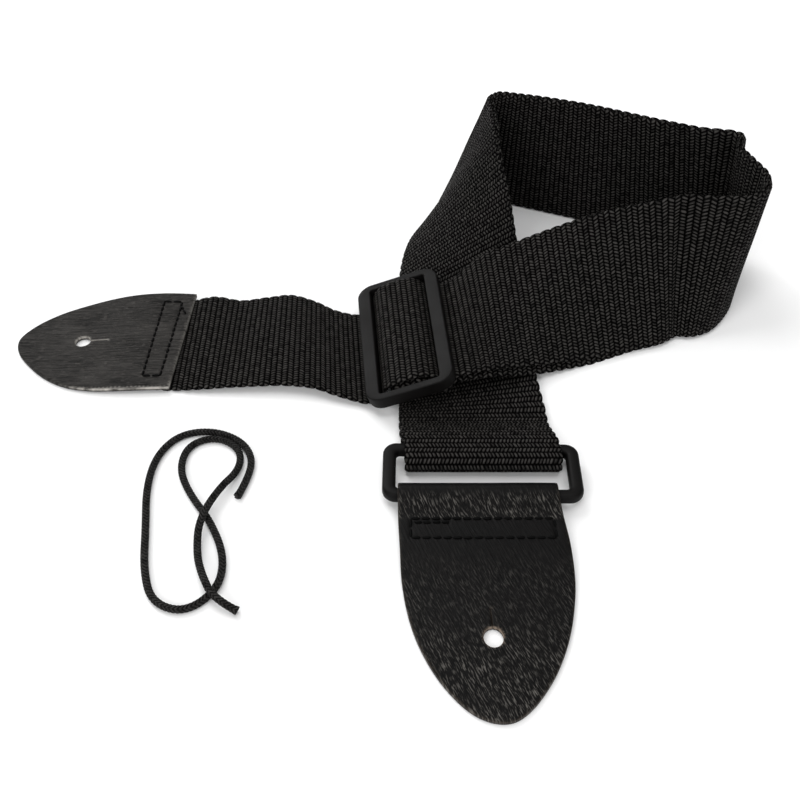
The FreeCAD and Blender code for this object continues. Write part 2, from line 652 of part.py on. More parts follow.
# ---------------------------------------------------------------- tie lace
def rounded_route(points):
    """Straight runs joined by tangent arcs, each as large as its two runs allow."""
    points = [Vector(*p) for p in points]
    edges = []
    radii = []
    here = points[0]
    for before, corner, after in zip(points, points[1:], points[2:]):
        back, ahead = before - corner, after - corner
        shorter = min(back.Length, ahead.Length)
        back.normalize()
        ahead.normalize()
        half_turn = (math.pi - back.getAngle(ahead)) / 2
        radius = 0.45 * shorter / math.tan(half_turn)
        radii.append(radius)
        start = corner + back * 0.45 * shorter
        end = corner + ahead * 0.45 * shorter
        towards = (back + ahead).normalize()
        middle = corner + towards * (radius / math.cos(half_turn) - radius)
        edges.append(Part.LineSegment(here, start).toShape())
        edges.append(Part.Arc(start, middle, end).toShape())
        here = end
    edges.append(Part.LineSegment(here, points[-1]).toShape())
    return Part.Wire(edges), radii


def make_lace():
    wire, radii = rounded_route(LACE_ROUTE)
    radius = dim("lace_diameter") / 2
    start = Vector(*LACE_ROUTE[0])
    heading = (Vector(*LACE_ROUTE[1]) - start).normalize()
    profile = Part.Wire(Part.Circle(start, heading, radius).toShape())
    tube = wire.makePipeShell([profile], True, True)
    expected = math.pi * radius ** 2 * wire.Length
    print("lace: length %.1f, volume %.1f of %.1f" % (wire.Length, tube.Volume, expected))
    print("lace radii: " + ", ".join("%.1f" % r for r in radii))
    assert abs(tube.Volume - expected) < 0.02 * expected
    return add_shape("tie_lace", tube)


# ---------------------------------------------------------------- build, test and write
parts = [make_slider(), make_ring()]
parts += make_curved_webbing()
parts += [make_tail_run()]
parts += make_slider_webbing()
parts += [make_ring_fold(), make_tail_tab(), make_front_tab()]
parts += make_stitching()
parts += [make_lace()]
doc.recompute()

for item in doc.Objects:
    bad = [state for state in item.State if state in ("Invalid", "Error")]
    assert not bad, "%s: %s" % (item.Name, bad)

os.makedirs("parts", exist_ok=True)
for part in parts:
    part.Label = part.Name
    shape = part.Shape
    assert not shape.isNull() and shape.isValid(), part.Label
    assert all(solid.Volume > 0 for solid in shape.Solids) and shape.Solids, part.Label
    shape.exportStep("parts/%s.step" % part.Label)
    box = shape.BoundBox
    print("%-24s solids %2d volume %9.1f  x %7.1f %7.1f  y %7.1f %7.1f  z %6.2f %6.2f" % (
        part.Label, len(shape.Solids), shape.Volume, box.XMin, box.XMax, box.YMin, box.YMax,
        box.ZMin, box.ZMax))
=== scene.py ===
"""Looks of the guitar strap: woven webbing, leather tabs, moulded slider and ring, braided lace."""
import math
import random
import bpy
import numpy as np
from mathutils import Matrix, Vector
from mathutils.geometry import delaunay_2d_cdt


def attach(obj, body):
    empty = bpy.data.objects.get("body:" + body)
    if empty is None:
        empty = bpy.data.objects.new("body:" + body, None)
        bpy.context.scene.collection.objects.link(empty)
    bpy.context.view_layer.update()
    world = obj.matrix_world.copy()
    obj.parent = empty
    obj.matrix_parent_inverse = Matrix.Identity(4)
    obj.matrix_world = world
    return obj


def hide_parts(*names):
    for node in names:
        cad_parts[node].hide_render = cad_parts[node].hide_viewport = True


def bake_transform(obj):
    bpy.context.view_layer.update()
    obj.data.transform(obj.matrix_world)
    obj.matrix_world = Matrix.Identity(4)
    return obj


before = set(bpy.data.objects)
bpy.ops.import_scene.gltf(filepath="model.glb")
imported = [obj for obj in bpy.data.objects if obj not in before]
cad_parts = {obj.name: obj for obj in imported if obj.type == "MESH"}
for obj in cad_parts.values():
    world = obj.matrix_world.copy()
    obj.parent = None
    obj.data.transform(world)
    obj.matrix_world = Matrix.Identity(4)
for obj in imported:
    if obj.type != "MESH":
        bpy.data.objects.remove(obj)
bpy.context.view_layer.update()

MM = 0.001
WIDTH = 50.0            # webbing, millimetres
RIB = 1.9               # pitch of the cross ribs along the webbing
STROKE = 1.2            # pitch of the yarn strokes across the webbing
THICK = 1.02            # webbing, middle of its relief
LEAN = 0.62            # slant of the strokes, over the width of a rib
RELIEF = 0.42           # height of the yarn over the valleys
PITCH = 1.7             # middle to middle of two layers
LEATHER = 1.7
ROWS_PER_RIB = 5        # mesh rows of the webbing
COLUMN = 0.8            # width of its mesh columns

# ------------------------------------------------------------------ camera
camera_data = bpy.data.cameras.new("camera")
camera_data.sensor_width = 36.0
camera_data.lens = 45.0
camera = bpy.data.objects.new("camera", camera_data)
camera.location = (2.0 * MM, -248.0 * MM, 239.0 * MM)
camera.rotation_euler = (math.radians(90.0 - 44.4), 0.0, 0.0)
bpy.context.scene.collection.objects.link(camera)
bpy.context.scene.camera = camera


# ------------------------------------------------------------------ mesh helpers
def mesh_object(name, points, faces, smooth=True):
    """points in millimetres."""
    mesh = bpy.data.meshes.new(name)
    mesh.from_pydata((np.asarray(points, float) * MM).tolist(), [], faces)
    mesh.update()
    mesh.calc_loop_triangles()
    corners = np.empty(len(mesh.loop_triangles) * 3, dtype=np.int32)
    mesh.loop_triangles.foreach_get("vertices", corners)
    a, b, c = np.moveaxis(np.asarray(points, float)[corners.reshape(-1, 3)], 1, 0)
    if np.einsum("ij,ij->i", a, np.cross(b, c)).sum() < 0:
        mesh.flip_normals()         # the faces of a closed piece point outwards
    if smooth:
        mesh.shade_smooth()
    obj = bpy.data.objects.new(name, mesh)
    bpy.context.scene.collection.objects.link(obj)
    return obj


def grid_faces(rows, columns, wrap=False, offset=0):
    """Quads of a grid of rows x columns points; wrap joins the last column to the first."""
    i = np.arange(rows - 1)[:, None] * columns
    j = np.arange(columns if wrap else columns - 1)[None, :]
    k = (j + 1) % columns
    quads = np.stack([i + j, i + k, i + columns + k, i + columns + j], axis=-1)
    return (quads.reshape(-1, 4) + offset).tolist()


def store(obj, name, values):
    attribute = obj.data.attributes.new(name, "FLOAT", "POINT")
    attribute.data.foreach_set("value", np.asarray(values, np.float32).ravel())


def store_uv(obj, name, pairs):
    """One UV pair per vertex."""
    layer = obj.data.uv_layers.new(name=name)
    loops = np.empty(len(obj.data.loops), int)
    obj.data.loops.foreach_get("vertex_index", loops)
    layer.data.foreach_set("uv", np.asarray(pairs, np.float32)[loops].ravel())


def unit(vectors):
    return vectors / np.maximum(np.linalg.norm(vectors, axis=-1, keepdims=True), 1e-9)


def distance_along(points):
    """Distance from a line's first point to each of its points."""
    return np.concatenate([[0], np.cumsum(np.linalg.norm(np.diff(points, axis=0), axis=1))])


def resample(points, run, s):
    """Points at the distances s of a line whose own points lie at the distances run."""
    return np.stack([np.interp(s, run, points[:, k]) for k in range(points.shape[1])], axis=1)


def smoothstep(x, a, b):
    t = np.clip((x - a) / (b - a), 0, 1)
    return t * t * (3 - 2 * t)


def smooth_noise(x, y, seed, octaves=3):
    """Soft value noise of two arrays, about -1..1."""
    rng = np.random.default_rng(seed)
    total = np.zeros(np.broadcast(x, y).shape)
    size = 1.0
    for _ in range(octaves):
        table = rng.uniform(-1, 1, (64, 64))
        px, py = x / size, y / size
        ix, iy = np.floor(px).astype(int), np.floor(py).astype(int)
        fx, fy = px - ix, py - iy
        fx, fy = fx * fx * (3 - 2 * fx), fy * fy * (3 - 2 * fy)
        a, b = table[ix % 64, iy % 64], table[(ix + 1) % 64, iy % 64]
        c, d = table[ix % 64, (iy + 1) % 64], table[(ix + 1) % 64, (iy + 1) % 64]
        total += (a + (b - a) * fx) * (1 - fy) * size + (c + (d - c) * fx) * fy * size
        size *= 0.5
    return total


# ------------------------------------------------------------------ route of the webbing
SLIDER_CENTRE = np.array([3.5, 18.4, 10.0])
HEADING, ROLL = math.radians(4.6), math.radians(18.4)
ALONG = np.array([math.cos(ROLL) * math.cos(HEADING), math.cos(ROLL) * math.sin(HEADING), math.sin(ROLL)])
ACROSS = np.array([-math.sin(HEADING), math.cos(HEADING), 0.0])
OUT = np.cross(ALONG, ACROSS)
SLIDER_EDGE = 15.5

# x, y, z of the lower selvedge, heading and slope of the straight rib across the webbing
BAND = [
    (36.0, 1.8, 9.0, 95, 12), (50.0, 8.0, 5.3, 95, 22), (63.0, 13.0, 3.2, 96, 31),
    (75.0, 17.4, 1.9, 98, 40), (87.0, 21.6, 1.4, 98, 47), (96.0, 24.4, 1.3, 97, 52),
]
BEND = [
    (102.0, 28.4, 1.2, 86, 56), (107.5, 28.4, 1.1, 74, 57), (114.5, 31.5, 1.1, 62, 59),
    (120.3, 38.0, 1.1, 59, 61), (125.1, 46.5, 0.9, 66, 66), (128.0, 57.0, 0.6, 84, 75),
    (129.4, 69.0, 0.5, 110, 80), (129.7, 79.6, 0.5, 105, 83),
]
BACK = [
    (121.0, 86.0, 0.6, 150, 80), (98.0, 96.0, 0.6, 150, 82), (73.0, 106.0, 0.6, 140, 86),
    (49.0, 116.0, 0.6, 300, 88), (32.5, 122.3, 0.6, 325, 80),
]
RETURN = [
    (23.2, 121.6, 0.8, -15, 72), (20.3, 116.3, 0.8, -11, 68.5), (18.5, 109.8, 0.9, -10, 66),
    (12.7, 98.0, 1.3, 0, 58), (6.6, 85.0, 1.4, 8, 47), (3.5, 71.0, 1.5, 14, 36),
    (2.2, 56.0, 1.5, 20, 25), (2.0, 41.0, 1.6, 24, 14), (2.0, 24.0, 1.6, 29, 2),
    (2.0, 8.0, 1.6, 27, 0),
]
FRONT = [(2.0, -4.0, 1.6, 17, 0), (2.0, -14.0, 1.6, 2, 0)]
TAIL = [
    (-88.0, 1.6, 0.75, 91, 0), (-77.0, 0.3, 0.75, 91, 0), (-67.0, -0.5, 1.9, 91, 1),
    (-57.0, -0.5, 2.8, 91, -2), (-47.0, -0.5, 3.4, 91, -1), (-37.0, -0.7, 3.9, 92, 0),
    (-27.0, -2.2, 3.9, 93, -2), (-18.5, -5.2, 3.0, 94, -2),
]
BACK_BAR = (-31.3, 4.25)        # y, z
FRONT_BAR = (-50.2, 4.25)


def rib_ends(rib):
    x, y, z, heading, slope = rib
    heading, slope = math.radians(heading), math.radians(slope)
    low = np.array([x, y, z])
    across = np.array([math.cos(slope) * math.cos(heading), math.cos(slope) * math.sin(heading),
                       math.sin(slope)])
    return low, low + across * WIDTH


def slider_rib(u, w):
    middle = SLIDER_CENTRE + ALONG * u + OUT * w
    return middle - ACROSS * WIDTH / 2, middle + ACROSS * WIDTH / 2


def catmull_rom(points, steps):
    """Smooth curve through points, parameterised by chord length."""
    points = np.asarray(points, float)
    padded = np.vstack([2 * points[0] - points[1], points, 2 * points[-1] - points[-2]])
    knots = np.concatenate([[0], np.cumsum(np.linalg.norm(np.diff(padded, axis=0), axis=1) ** 0.5)])
    rows = []
    for i in range(1, len(padded) - 2):
        t0, t1, t2, t3 = knots[i - 1:i + 3]
        t = np.linspace(t1, t2, steps, endpoint=False)[:, None]
        a1 = (t1 - t) / (t1 - t0) * padded[i - 1] + (t - t0) / (t1 - t0) * padded[i]
        a2 = (t2 - t) / (t2 - t1) * padded[i] + (t - t1) / (t2 - t1) * padded[i + 1]
        a3 = (t3 - t) / (t3 - t2) * padded[i + 1] + (t - t2) / (t3 - t2) * padded[i + 2]
        b1 = (t2 - t) / (t2 - t0) * a1 + (t - t0) / (t2 - t0) * a2
        b2 = (t3 - t) / (t3 - t1) * a2 + (t - t1) / (t3 - t1) * a3
        rows.append((t2 - t) / (t2 - t1) * b1 + (t - t1) / (t2 - t1) * b2)
    rows.append(points[-1:])
    return np.vstack(rows)


def rounded_line(points, radius):
    """Polyline whose corners are rounded with short curves."""
    points = [np.asarray(p, float) for p in points]
    rows = [points[0]]
    for before, corner, after in zip(points, points[1:], points[2:]):
        back, ahead = before - corner, after - corner
        cut = min(radius, 0.48 * np.linalg.norm(back), 0.48 * np.linalg.norm(ahead))
        start = corner + back / np.linalg.norm(back) * cut
        end = corner + ahead / np.linalg.norm(ahead) * cut
        for t in np.linspace(0, 1, 9):
            rows.append((1 - t) ** 2 * start + 2 * t * (1 - t) * corner + t * t * end)
    rows.append(points[-1])
    return np.array(rows)


# ------------------------------------------------------------------ woven surface
def rib_height(s):
    """Height of the ribs that run across the webbing, 0 in a valley to 1 on top."""
    u = s / RIB - np.floor(s / RIB)
    return (1 - np.abs(2 * u - 1) ** 2.2) ** 0.6


def rib_normals(lows, highs):
    """Normals of the ribbon at its two selvedges."""
    across = unit(highs - lows)
    d_low, d_high = np.gradient(lows, axis=0), np.gradient(highs, axis=0)
    d_mid = (d_low + d_high) / 4
    return unit(np.cross(d_low + d_mid, across)), unit(np.cross(d_high + d_mid, across))


def moving_average(rows, reach):
    """Smooths a path; its ends stay where they are."""
    padded = np.vstack([2 * rows[0] - rows[reach:0:-1], rows, 2 * rows[-1] - rows[-2:-reach - 2:-1]])
    kernel = np.hanning(2 * reach + 3)[1:-1]
    kernel /= kernel.sum()
    return np.stack([np.convolve(padded[:, k], kernel, mode="valid") for k in range(3)], axis=1)


def pair_ribs():
    """Ribs midway between the two layers, from the slider to where they part at the ring."""
    groups = [("band", [slider_rib(SLIDER_EDGE, -3.95), slider_rib(SLIDER_EDGE + 3.0, -3.95)]
               + [rib_ends(r) for r in BAND]), ("bend", [rib_ends(r) for r in BEND]),
              ("back", [rib_ends(r) for r in BACK]), ("return", [rib_ends(r) for r in RETURN]),
              ("front", [rib_ends(r) for r in FRONT])]
    every = [rib for _, ribs in groups for rib in ribs]
    steps = 30
    lows = catmull_rom([r[0] for r in every], steps)
    highs = catmull_rom([r[1] for r in every], steps)
    # the run narrows a little towards the ring
    narrow = smoothstep(np.arange(len(lows)), len(lows) - 75, len(lows) - 15)[:, None]
    highs = highs - unit(highs - lows) * 1.5 * narrow
    marks, first = [], 0
    for name, ribs in groups:
        first += len(ribs)
        marks.append((name, min(first, len(every) - 1) * steps))
    return lows, highs, marks


def whole_route():
    """The one strip of webbing from the tail tab to its sewn end: ribs, and a label for each rib."""
    parts = []

    def add(label, lows, highs):
        parts.append((label, np.asarray(lows), np.asarray(highs)))

    ribs = [rib_ends(r) for r in TAIL]
    ribs += [slider_rib(u, -3.1) for u in (-SLIDER_EDGE - 0.3, -SLIDER_EDGE + 2)]
    # the far selvedge draws in towards the slider
    draw = [3.2, 2.2, 1.0, 1.1, 0.9, 1.0, 1.4, 2.6, 3.4, 1.6]
    ribs = [(low, high - unit(high - low) * d) for (low, high), d in zip(ribs, draw)]
    lows, highs = catmull_rom([r[0] for r in ribs], 20), catmull_rom([r[1] for r in ribs], 20)
    add("tail", lows, highs)
    hump = rounded_line([(-12.5, -3.1), (-10.6, -3.1), (-8.4, 0.9), (-5.6, 2.6), (-1.0, 3.0), (4.2, 2.75),
                         (7.6, 0.8), (10.4, -3.1), (14.6, -3.1)], 1.9)
    ribs = [slider_rib(u, w) for u, w in hump]
    # over the middle bar the webbing has slid against the far end of the slots
    u = hump[:, 0]
    slid = 2.2 * smoothstep(u, -12.5, -10.4) * (1 - smoothstep(u, 10.5, 14.0))
    ease = 1.6 * (1 - smoothstep(u, -12.5, -10.4))
    add("hump", [r[0] - ACROSS * a * 0.25 for r, a in zip(ribs, slid)],
        [r[1] + ACROSS * (a - e) for r, a, e in zip(ribs, slid, ease)])
    lows, highs, marks = pair_ribs()
    n_low, n_high = rib_normals(lows, highs)
    run = distance_along((lows + highs) / 2)
    outer = (lows + n_low * PITCH / 2, highs + n_high * PITCH / 2)
    # past the slider the inner layer sits lower than the outer one
    lower = np.interp(run, [0, 4, 20, 36, 52, 66, 90], [0.4, 0.6, 2.7, 2.6, 2.2, 0.9, 0.0])
    shift = lower[:, None] * unit(highs - lows)
    inner = (lows - n_low * PITCH / 2 - shift, highs - n_high * PITCH / 2 - shift)
    begin = 0
    inner_parts = []
    for name, end in marks:
        cut = slice(begin, end + 1)
        add("outer_" + name, outer[0][cut], outer[1][cut])
        inner_parts.append(("inner_" + name, inner[0][cut][::-1], inner[1][cut][::-1]))
        begin = end
    radius = 2.85
    y0, z0 = BACK_BAR
    # the loop hangs past the bar
    arc = [(y0 - 4.6 - radius * math.sin(a), z0 + radius * math.cos(a))
           for a in np.linspace(0.1, math.pi - 0.1, 20)]
    line = catmull_rom([(-14.0, 2.45), (-17.5, 2.8), (-23.0, 5.2), (-28.5, 7.2), (-32.0, 7.4)] + arc
                       + [(-32.0, 1.15), (-26.0, 1.1), (-17.5, 0.8), (-14.0, 0.75)], 6)
    pinch = smoothstep(-line[:, 0], 18.0, 35.0)
    add("fold", [(2.0 + 1.9 * t, y, z) for (y, z), t in zip(line, pinch)],
        [(50.5 + 2.1 * t, y, z) for (y, z), t in zip(line, pinch)])
    for label, low, high in inner_parts[::-1]:
        add(label, low, high)
    sewn = rounded_line([(15.3, -4.8), (9.26, -4.8), (3.91, 0.95), (-5.0, 0.95), (-7.6, -3.05), (1.8, -3.05),
                         (7.3, -6.3), (15.1, -6.3)], 1.6)
    ribs = [slider_rib(u, w) for u, w in sewn]
    slid = 1.4 * (1 - smoothstep(sewn[:, 0], 8.0, 14.0))
    add("sewn", [r[0] - ACROSS * a for r, a in zip(ribs, slid)],
        [r[1] + ACROSS * a for r, a in zip(ribs, slid)])
    lows = np.vstack([p[1] for p in parts])
    highs = np.vstack([p[2] for p in parts])
    labels = np.concatenate([np.full(len(p[1]), i) for i, p in enumerate(parts)])
    return lows, highs, labels, [p[0] for p in parts]


def woven_strip():
    """Front and back surface points of the whole strip, and the rows where each piece starts."""
    lows, highs, labels, names = whole_route()
    run = distance_along((lows + highs) / 2)
    keep = np.concatenate([[True], np.diff(run) > 1e-5])
    run, lows, highs, labels = run[keep], lows[keep], highs[keep], labels[keep]
    rows = int(run[-1] / RIB) * ROWS_PER_RIB + 1
    s = np.arange(rows) * RIB / ROWS_PER_RIB
    lows, highs = resample(lows, run, s), resample(highs, run, s)
    lows, highs = moving_average(lows, 2), moving_average(highs, 2)
    cuts = [0]
    for i in range(1, len(names)):
        at = run[np.searchsorted(labels, i)]
        cuts.append(int(round(at / RIB)) * ROWS_PER_RIB)
    cuts.append(rows - 1)
    columns = int(round(WIDTH / COLUMN)) + 1
    v = np.linspace(0, 1, columns)[None, :, None]
    across = unit(highs - lows)[:, None]
    d_low, d_high = np.gradient(lows, axis=0), np.gradient(highs, axis=0)
    tangent = (d_low[:, None] * (1 - v) + d_high[:, None] * v + (d_low + d_high)[:, None] / 4)
    normal = unit(np.cross(tangent, across + 0 * tangent))
    surface = lows[:, None] * (1 - v) + highs[:, None] * v
    along, out_of = np.meshgrid(s, v[0, :, 0] * WIDTH, indexing="ij")
    edge = np.minimum(out_of, WIDTH - out_of)
    round_off = np.sqrt(np.clip(1 - (np.clip(0.8 - edge, 0, 0.8) / 0.8) ** 2, 0.05, 1))
    # the selvedge yarn stands out in a bump at every second rib
    bump = np.abs(np.sin(math.pi * along / (2 * RIB))) ** 0.7
    scallop = (0.55 * bump - 0.1) * np.clip(1 - edge / 1.1, 0, 1)
    surface = surface + across * (np.where(out_of < WIDTH / 2, -1.0, 1.0) * scallop)[..., None]
    # slack: the cloth never lies quite flat
    slack = 0.22 * smooth_noise(along / 23, out_of / 30 + 3, 21, 2) * np.ones_like(along)
    calm = np.ones(rows)
    for i, label in enumerate(names):
        if label in ("hump", "sewn", "fold"):
            calm[cuts[i]:cuts[i + 1] + 1] = 0
    slack = slack * moving_average(np.repeat(calm[:, None], 3, axis=1), 12)[:, :1]
    # a crease in both layers where the band turns, and a wave where the back run starts
    hollow = np.sin(math.pi * np.clip(out_of / WIDTH, 0, 1)) ** 0.5
    for side, first, last, way in (("outer_", "band", "back", 1), ("inner_", "back", "band", -1)):
        span = np.arange(cuts[names.index(side + first)], cuts[names.index(side + last) + 1])
        front_half = span[lows[span, 1] < 50.0]
        back_half = span[lows[span, 1] > 80.0]
        crease = way * (s - s[front_half[np.argmin(np.abs(lows[front_half, 0] - 100.0))]])
        wave = way * (s - s[back_half[np.argmin(np.abs(lows[back_half, 0] - 110.0))]])
        dent = -1.6 * smoothstep(crease, -1.5, 3.0) * (1 - smoothstep(crease, 4.0, 12.0))
        dent = dent + 1.5 * np.exp(-((wave + 5.5) / 4.0) ** 2) - 1.5 * np.exp(-((wave - 5.5) / 4.0) ** 2)
        slack = slack + way * dent[:, None] * hollow
    surface = surface + normal * slack[..., None]
    rib = rib_height(along)
    half = THICK / 2
    top = surface + normal * ((half + RELIEF * (rib - 0.5)) * round_off)[..., None]
    under = surface - normal * ((half + RELIEF * (rib - 0.5)) * round_off)[..., None]
    points = np.concatenate([top, under[:, ::-1]], axis=1)
    points[..., 2] = np.maximum(points[..., 2], 0.02)
    flat = np.stack([np.concatenate([along, along + RIB], axis=1),
                     np.concatenate([out_of, out_of[:, ::-1]], axis=1)], axis=-1)
    return points, flat, dict(zip(names, zip(cuts, cuts[1:]))), s


def cloth_piece(name, strip_rows):
    """One piece of the strip as its own closed mesh."""
    points, flat, _, _ = STRIP
    a, b = strip_rows
    rows, columns = b - a + 1, points.shape[1]
    faces = grid_faces(rows, columns, wrap=True)
    half = columns // 2
    for first, turn in ((0, 1), ((rows - 1) * columns, -1)):
        for k in range(half - 1):
            quad = [first + k + 1, first + k, first + columns - 1 - k, first + columns - 2 - k]
            faces.append(quad[::turn])
    obj = mesh_object(name, points[a:b + 1].reshape(-1, 3), faces)
    # the cut ends don't pull the shading of the cloth round with them
    ends = np.empty(len(obj.data.edges) * 2, int)
    obj.data.edges.foreach_get("vertices", ends)
    row = ends.reshape(-1, 2) // columns
    sharp = (row[:, 0] == row[:, 1]) & ((row[:, 0] == 0) | (row[:, 0] == rows - 1))
    marks = obj.data.attributes.new("sharp_edge", "BOOLEAN", "EDGE")
    marks.data.foreach_set("value", sharp)
    store_uv(obj, "cloth", flat[a:b + 1].reshape(-1, 2))
    return obj


STRIP = woven_strip()
PARTS = STRIP[2]
cloth = {}
for label, rows in PARTS.items():
    piece = cloth_piece("cloth_" + label, rows)
    cloth[label] = piece
    if label == "tail":
        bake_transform(piece)
        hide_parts("webbing_tail_run")
    elif label in ("hump", "sewn"):
        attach(piece, "slider")
        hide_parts("webbing_slider_hump" if label == "hump" else "webbing_sewn_end")
    elif label == "fold":
        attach(piece, "strap")
        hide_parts("webbing_ring_fold")
    elif label.endswith("band"):
        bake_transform(piece)
        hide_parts("webbing_" + label)
    else:
        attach(piece, "strap")
        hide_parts("webbing_" + label)

# ------------------------------------------------------------------ leather
def closed_curve(points, corners=(), steps=14):
    """Closed outline through points: smooth, except at the numbered corners."""
    count = len(points)
    if not corners:
        ring = [points[-1]] + list(points) + [points[0], points[1]]
        curve = catmull_rom(ring, steps)
        return curve[steps:-steps - 1]
    order = sorted(corners)
    rows = []
    for a, b in zip(order, order[1:] + [order[0] + count]):
        section = [points[i % count] for i in range(a, b + 1)]
        rows.append(catmull_rom(section, steps)[:-1])
    return np.vstack(rows)


def even_ring(curve, step):
    """Evenly spaced points of a closed outline."""
    closed = np.vstack([curve, curve[:1]])
    run = distance_along(closed)
    return resample(closed, run, np.linspace(0, run[-1], int(run[-1] / step), endpoint=False))


def inside(points, ring):
    x, y = points[:, 0], points[:, 1]
    result = np.zeros(len(points), bool)
    for (x1, y1), (x2, y2) in zip(ring, np.roll(ring, -1, axis=0)):
        crosses = (y1 > y) != (y2 > y)
        with np.errstate(divide="ignore", invalid="ignore"):
            at = x1 + (y - y1) / (y2 - y1) * (x2 - x1)
        result ^= crosses & (x < at)
    return result


def edge_distance(points, rings):
    best = np.full(len(points), 1e9)
    for ring in rings:
        for a, b in zip(ring, np.roll(ring, -1, axis=0)):
            d = b - a
            t = np.clip(((points - a) @ d) / max(d @ d, 1e-12), 0, 1)
            best = np.minimum(best, np.linalg.norm(points - (a + t[:, None] * d), axis=1))
    return best


def inward(ring, distance, area_sign):
    ahead = unit(np.roll(ring, -1, axis=0) - np.roll(ring, 1, axis=0))
    return ring + np.stack([-ahead[:, 1], ahead[:, 0]], axis=1) * distance * area_sign


def ring_area(ring):
    x, y = ring[:, 0], ring[:, 1]
    return 0.5 * np.sum(x * np.roll(y, -1) - y * np.roll(x, -1))


def keyhole(centre, radius, slit_end, width=0.42, tall=None):
    """Button hole with a slit that leaves it along slit_end - centre; tall is its radius that way."""
    centre, slit_end = np.array(centre, float), np.array(slit_end, float)
    ahead = unit(slit_end - centre)
    side = np.array([-ahead[1], ahead[0]])
    start = math.asin(width / 2 / radius)
    angles = np.linspace(start, 2 * math.pi - start, 48)
    tall = tall or radius
    circle = [centre + tall * math.cos(a) * ahead + radius * math.sin(a) * side for a in angles]
    length = np.linalg.norm(slit_end - centre)
    low = [centre + ahead * r - side * width / 2 * (1 - 0.5 * (r - radius) / (length - radius))
           for r in np.linspace(tall + 0.3, length, 20)]
    high = [centre + ahead * r + side * width / 2 * (1 - 0.5 * (r - radius) / (length - radius))
            for r in np.linspace(length, tall + 0.3, 20)]
    return np.array(circle + low + high)


def leather(name, outline, hole, place, relief, wrinkle, bare, thickness=LEATHER, grid=0.75, rounding=0.4):
    """A sheet of leather cut to an outline with a button hole. place turns plan points and a
    height above the middle of the sheet into 3-D points; wrinkle and bare say how strongly the
    grain and the uncoloured cut edge show at plan points."""
    rng = np.random.default_rng(11)
    rings = [outline, hole]
    points = [outline, hole]
    edges = []
    begin = 0
    for ring in rings:
        edges += [(begin + i, begin + (i + 1) % len(ring)) for i in range(len(ring))]
        begin += len(ring)
    signs = [math.copysign(1, ring_area(outline)), -math.copysign(1, ring_area(hole))]
    for distance in (0.14, 0.4):
        for ring, sign in zip(rings, signs):
            points.append(inward(ring, distance, sign)[::1 if distance < 0.2 else 2])
    low, high = outline.min(axis=0), outline.max(axis=0)
    xs, ys = np.meshgrid(np.arange(low[0], high[0], grid), np.arange(low[1], high[1], grid * 0.87))
    xs[1::2] += grid / 2
    field = np.stack([xs.ravel(), ys.ravel()], axis=1) + rng.uniform(-0.08, 0.08, (xs.size, 2))
    field = field[inside(field, outline) & ~inside(field, hole)]
    field = field[edge_distance(field, rings) > 0.7]
    points = np.vstack(points + [field])
    ok = np.ones(len(points), bool)
    rim = len(outline) + len(hole)
    ok[rim:] = inside(points[rim:], outline) & ~inside(points[rim:], hole)
    points = points[ok]
    found = delaunay_2d_cdt([Vector(p) for p in points.tolist()], edges, [], 1, 1e-6)
    flat = np.array([v[:] for v in found[0]])
    triangles = np.array(found[2])
    centres = flat[triangles].mean(axis=1)
    triangles = triangles[inside(centres, outline) & ~inside(centres, hole)]
    d = edge_distance(flat, rings)
    arc = np.sqrt(np.clip(rounding ** 2 - (rounding - d) ** 2, 0, None))
    drop = np.where(d < rounding, rounding - arc, 0)
    lift = relief(flat, d)
    top = place(flat, thickness / 2 - drop + lift)
    under = place(flat, -thickness / 2 + drop * 0.6)
    count = len(flat)
    faces = triangles.tolist() + (triangles[:, ::-1] + count).tolist()
    # side walls: directed edges that only one triangle uses
    directed = dict.fromkeys(pair for a, b, c in triangles.tolist() for pair in ((a, b), (b, c), (c, a)))
    rim_edges = [pair for pair in directed if (pair[1], pair[0]) not in directed]
    steps = 3
    extra = []
    rim_index = {}
    for a, b in rim_edges:
        for k in (a, b):
            if k not in rim_index:
                rim_index[k] = 2 * count + len(rim_index) * (steps - 1)
                for n in range(1, steps):
                    t = n / steps
                    extra.append(top[k] * (1 - t) + under[k] * t)
    for a, b in rim_edges:
        column_a = [a] + [rim_index[a] + n for n in range(steps - 1)] + [a + count]
        column_b = [b] + [rim_index[b] + n for n in range(steps - 1)] + [b + count]
        for n in range(steps):
            faces.append([column_b[n], column_a[n], column_a[n + 1], column_b[n + 1]])
    body = np.vstack([top, under, np.array(extra)])
    obj = mesh_object(name, body, faces)
    rim_flat = np.array([flat[k] for k in rim_index for n in range(steps - 1)])
    depth = np.tile([1.0, 0.35], len(rim_index))
    rim = np.clip(1 - d / 0.25, 0, 1) * bare(flat)
    store(obj, "wall", np.concatenate([rim, np.zeros(count), depth * bare(rim_flat)]))
    plan = np.vstack([flat, flat, rim_flat])
    store(obj, "wrinkle", wrinkle(plan))
    store_uv(obj, "hide", plan)
    return obj


def groove(flat, lines, depth=0.22, width=0.55):
    """Stitch lines pull the leather down."""
    total = np.zeros(len(flat))
    for a, b in lines:
        a, b = np.array(a), np.array(b)
        d = b - a
        t = np.clip(((flat - a) @ d) / (d @ d), 0, 1)
        away = np.linalg.norm(flat - (a + t[:, None] * d), axis=1)
        total = np.minimum(total, -depth * np.exp(-(away / width) ** 2))
    return total


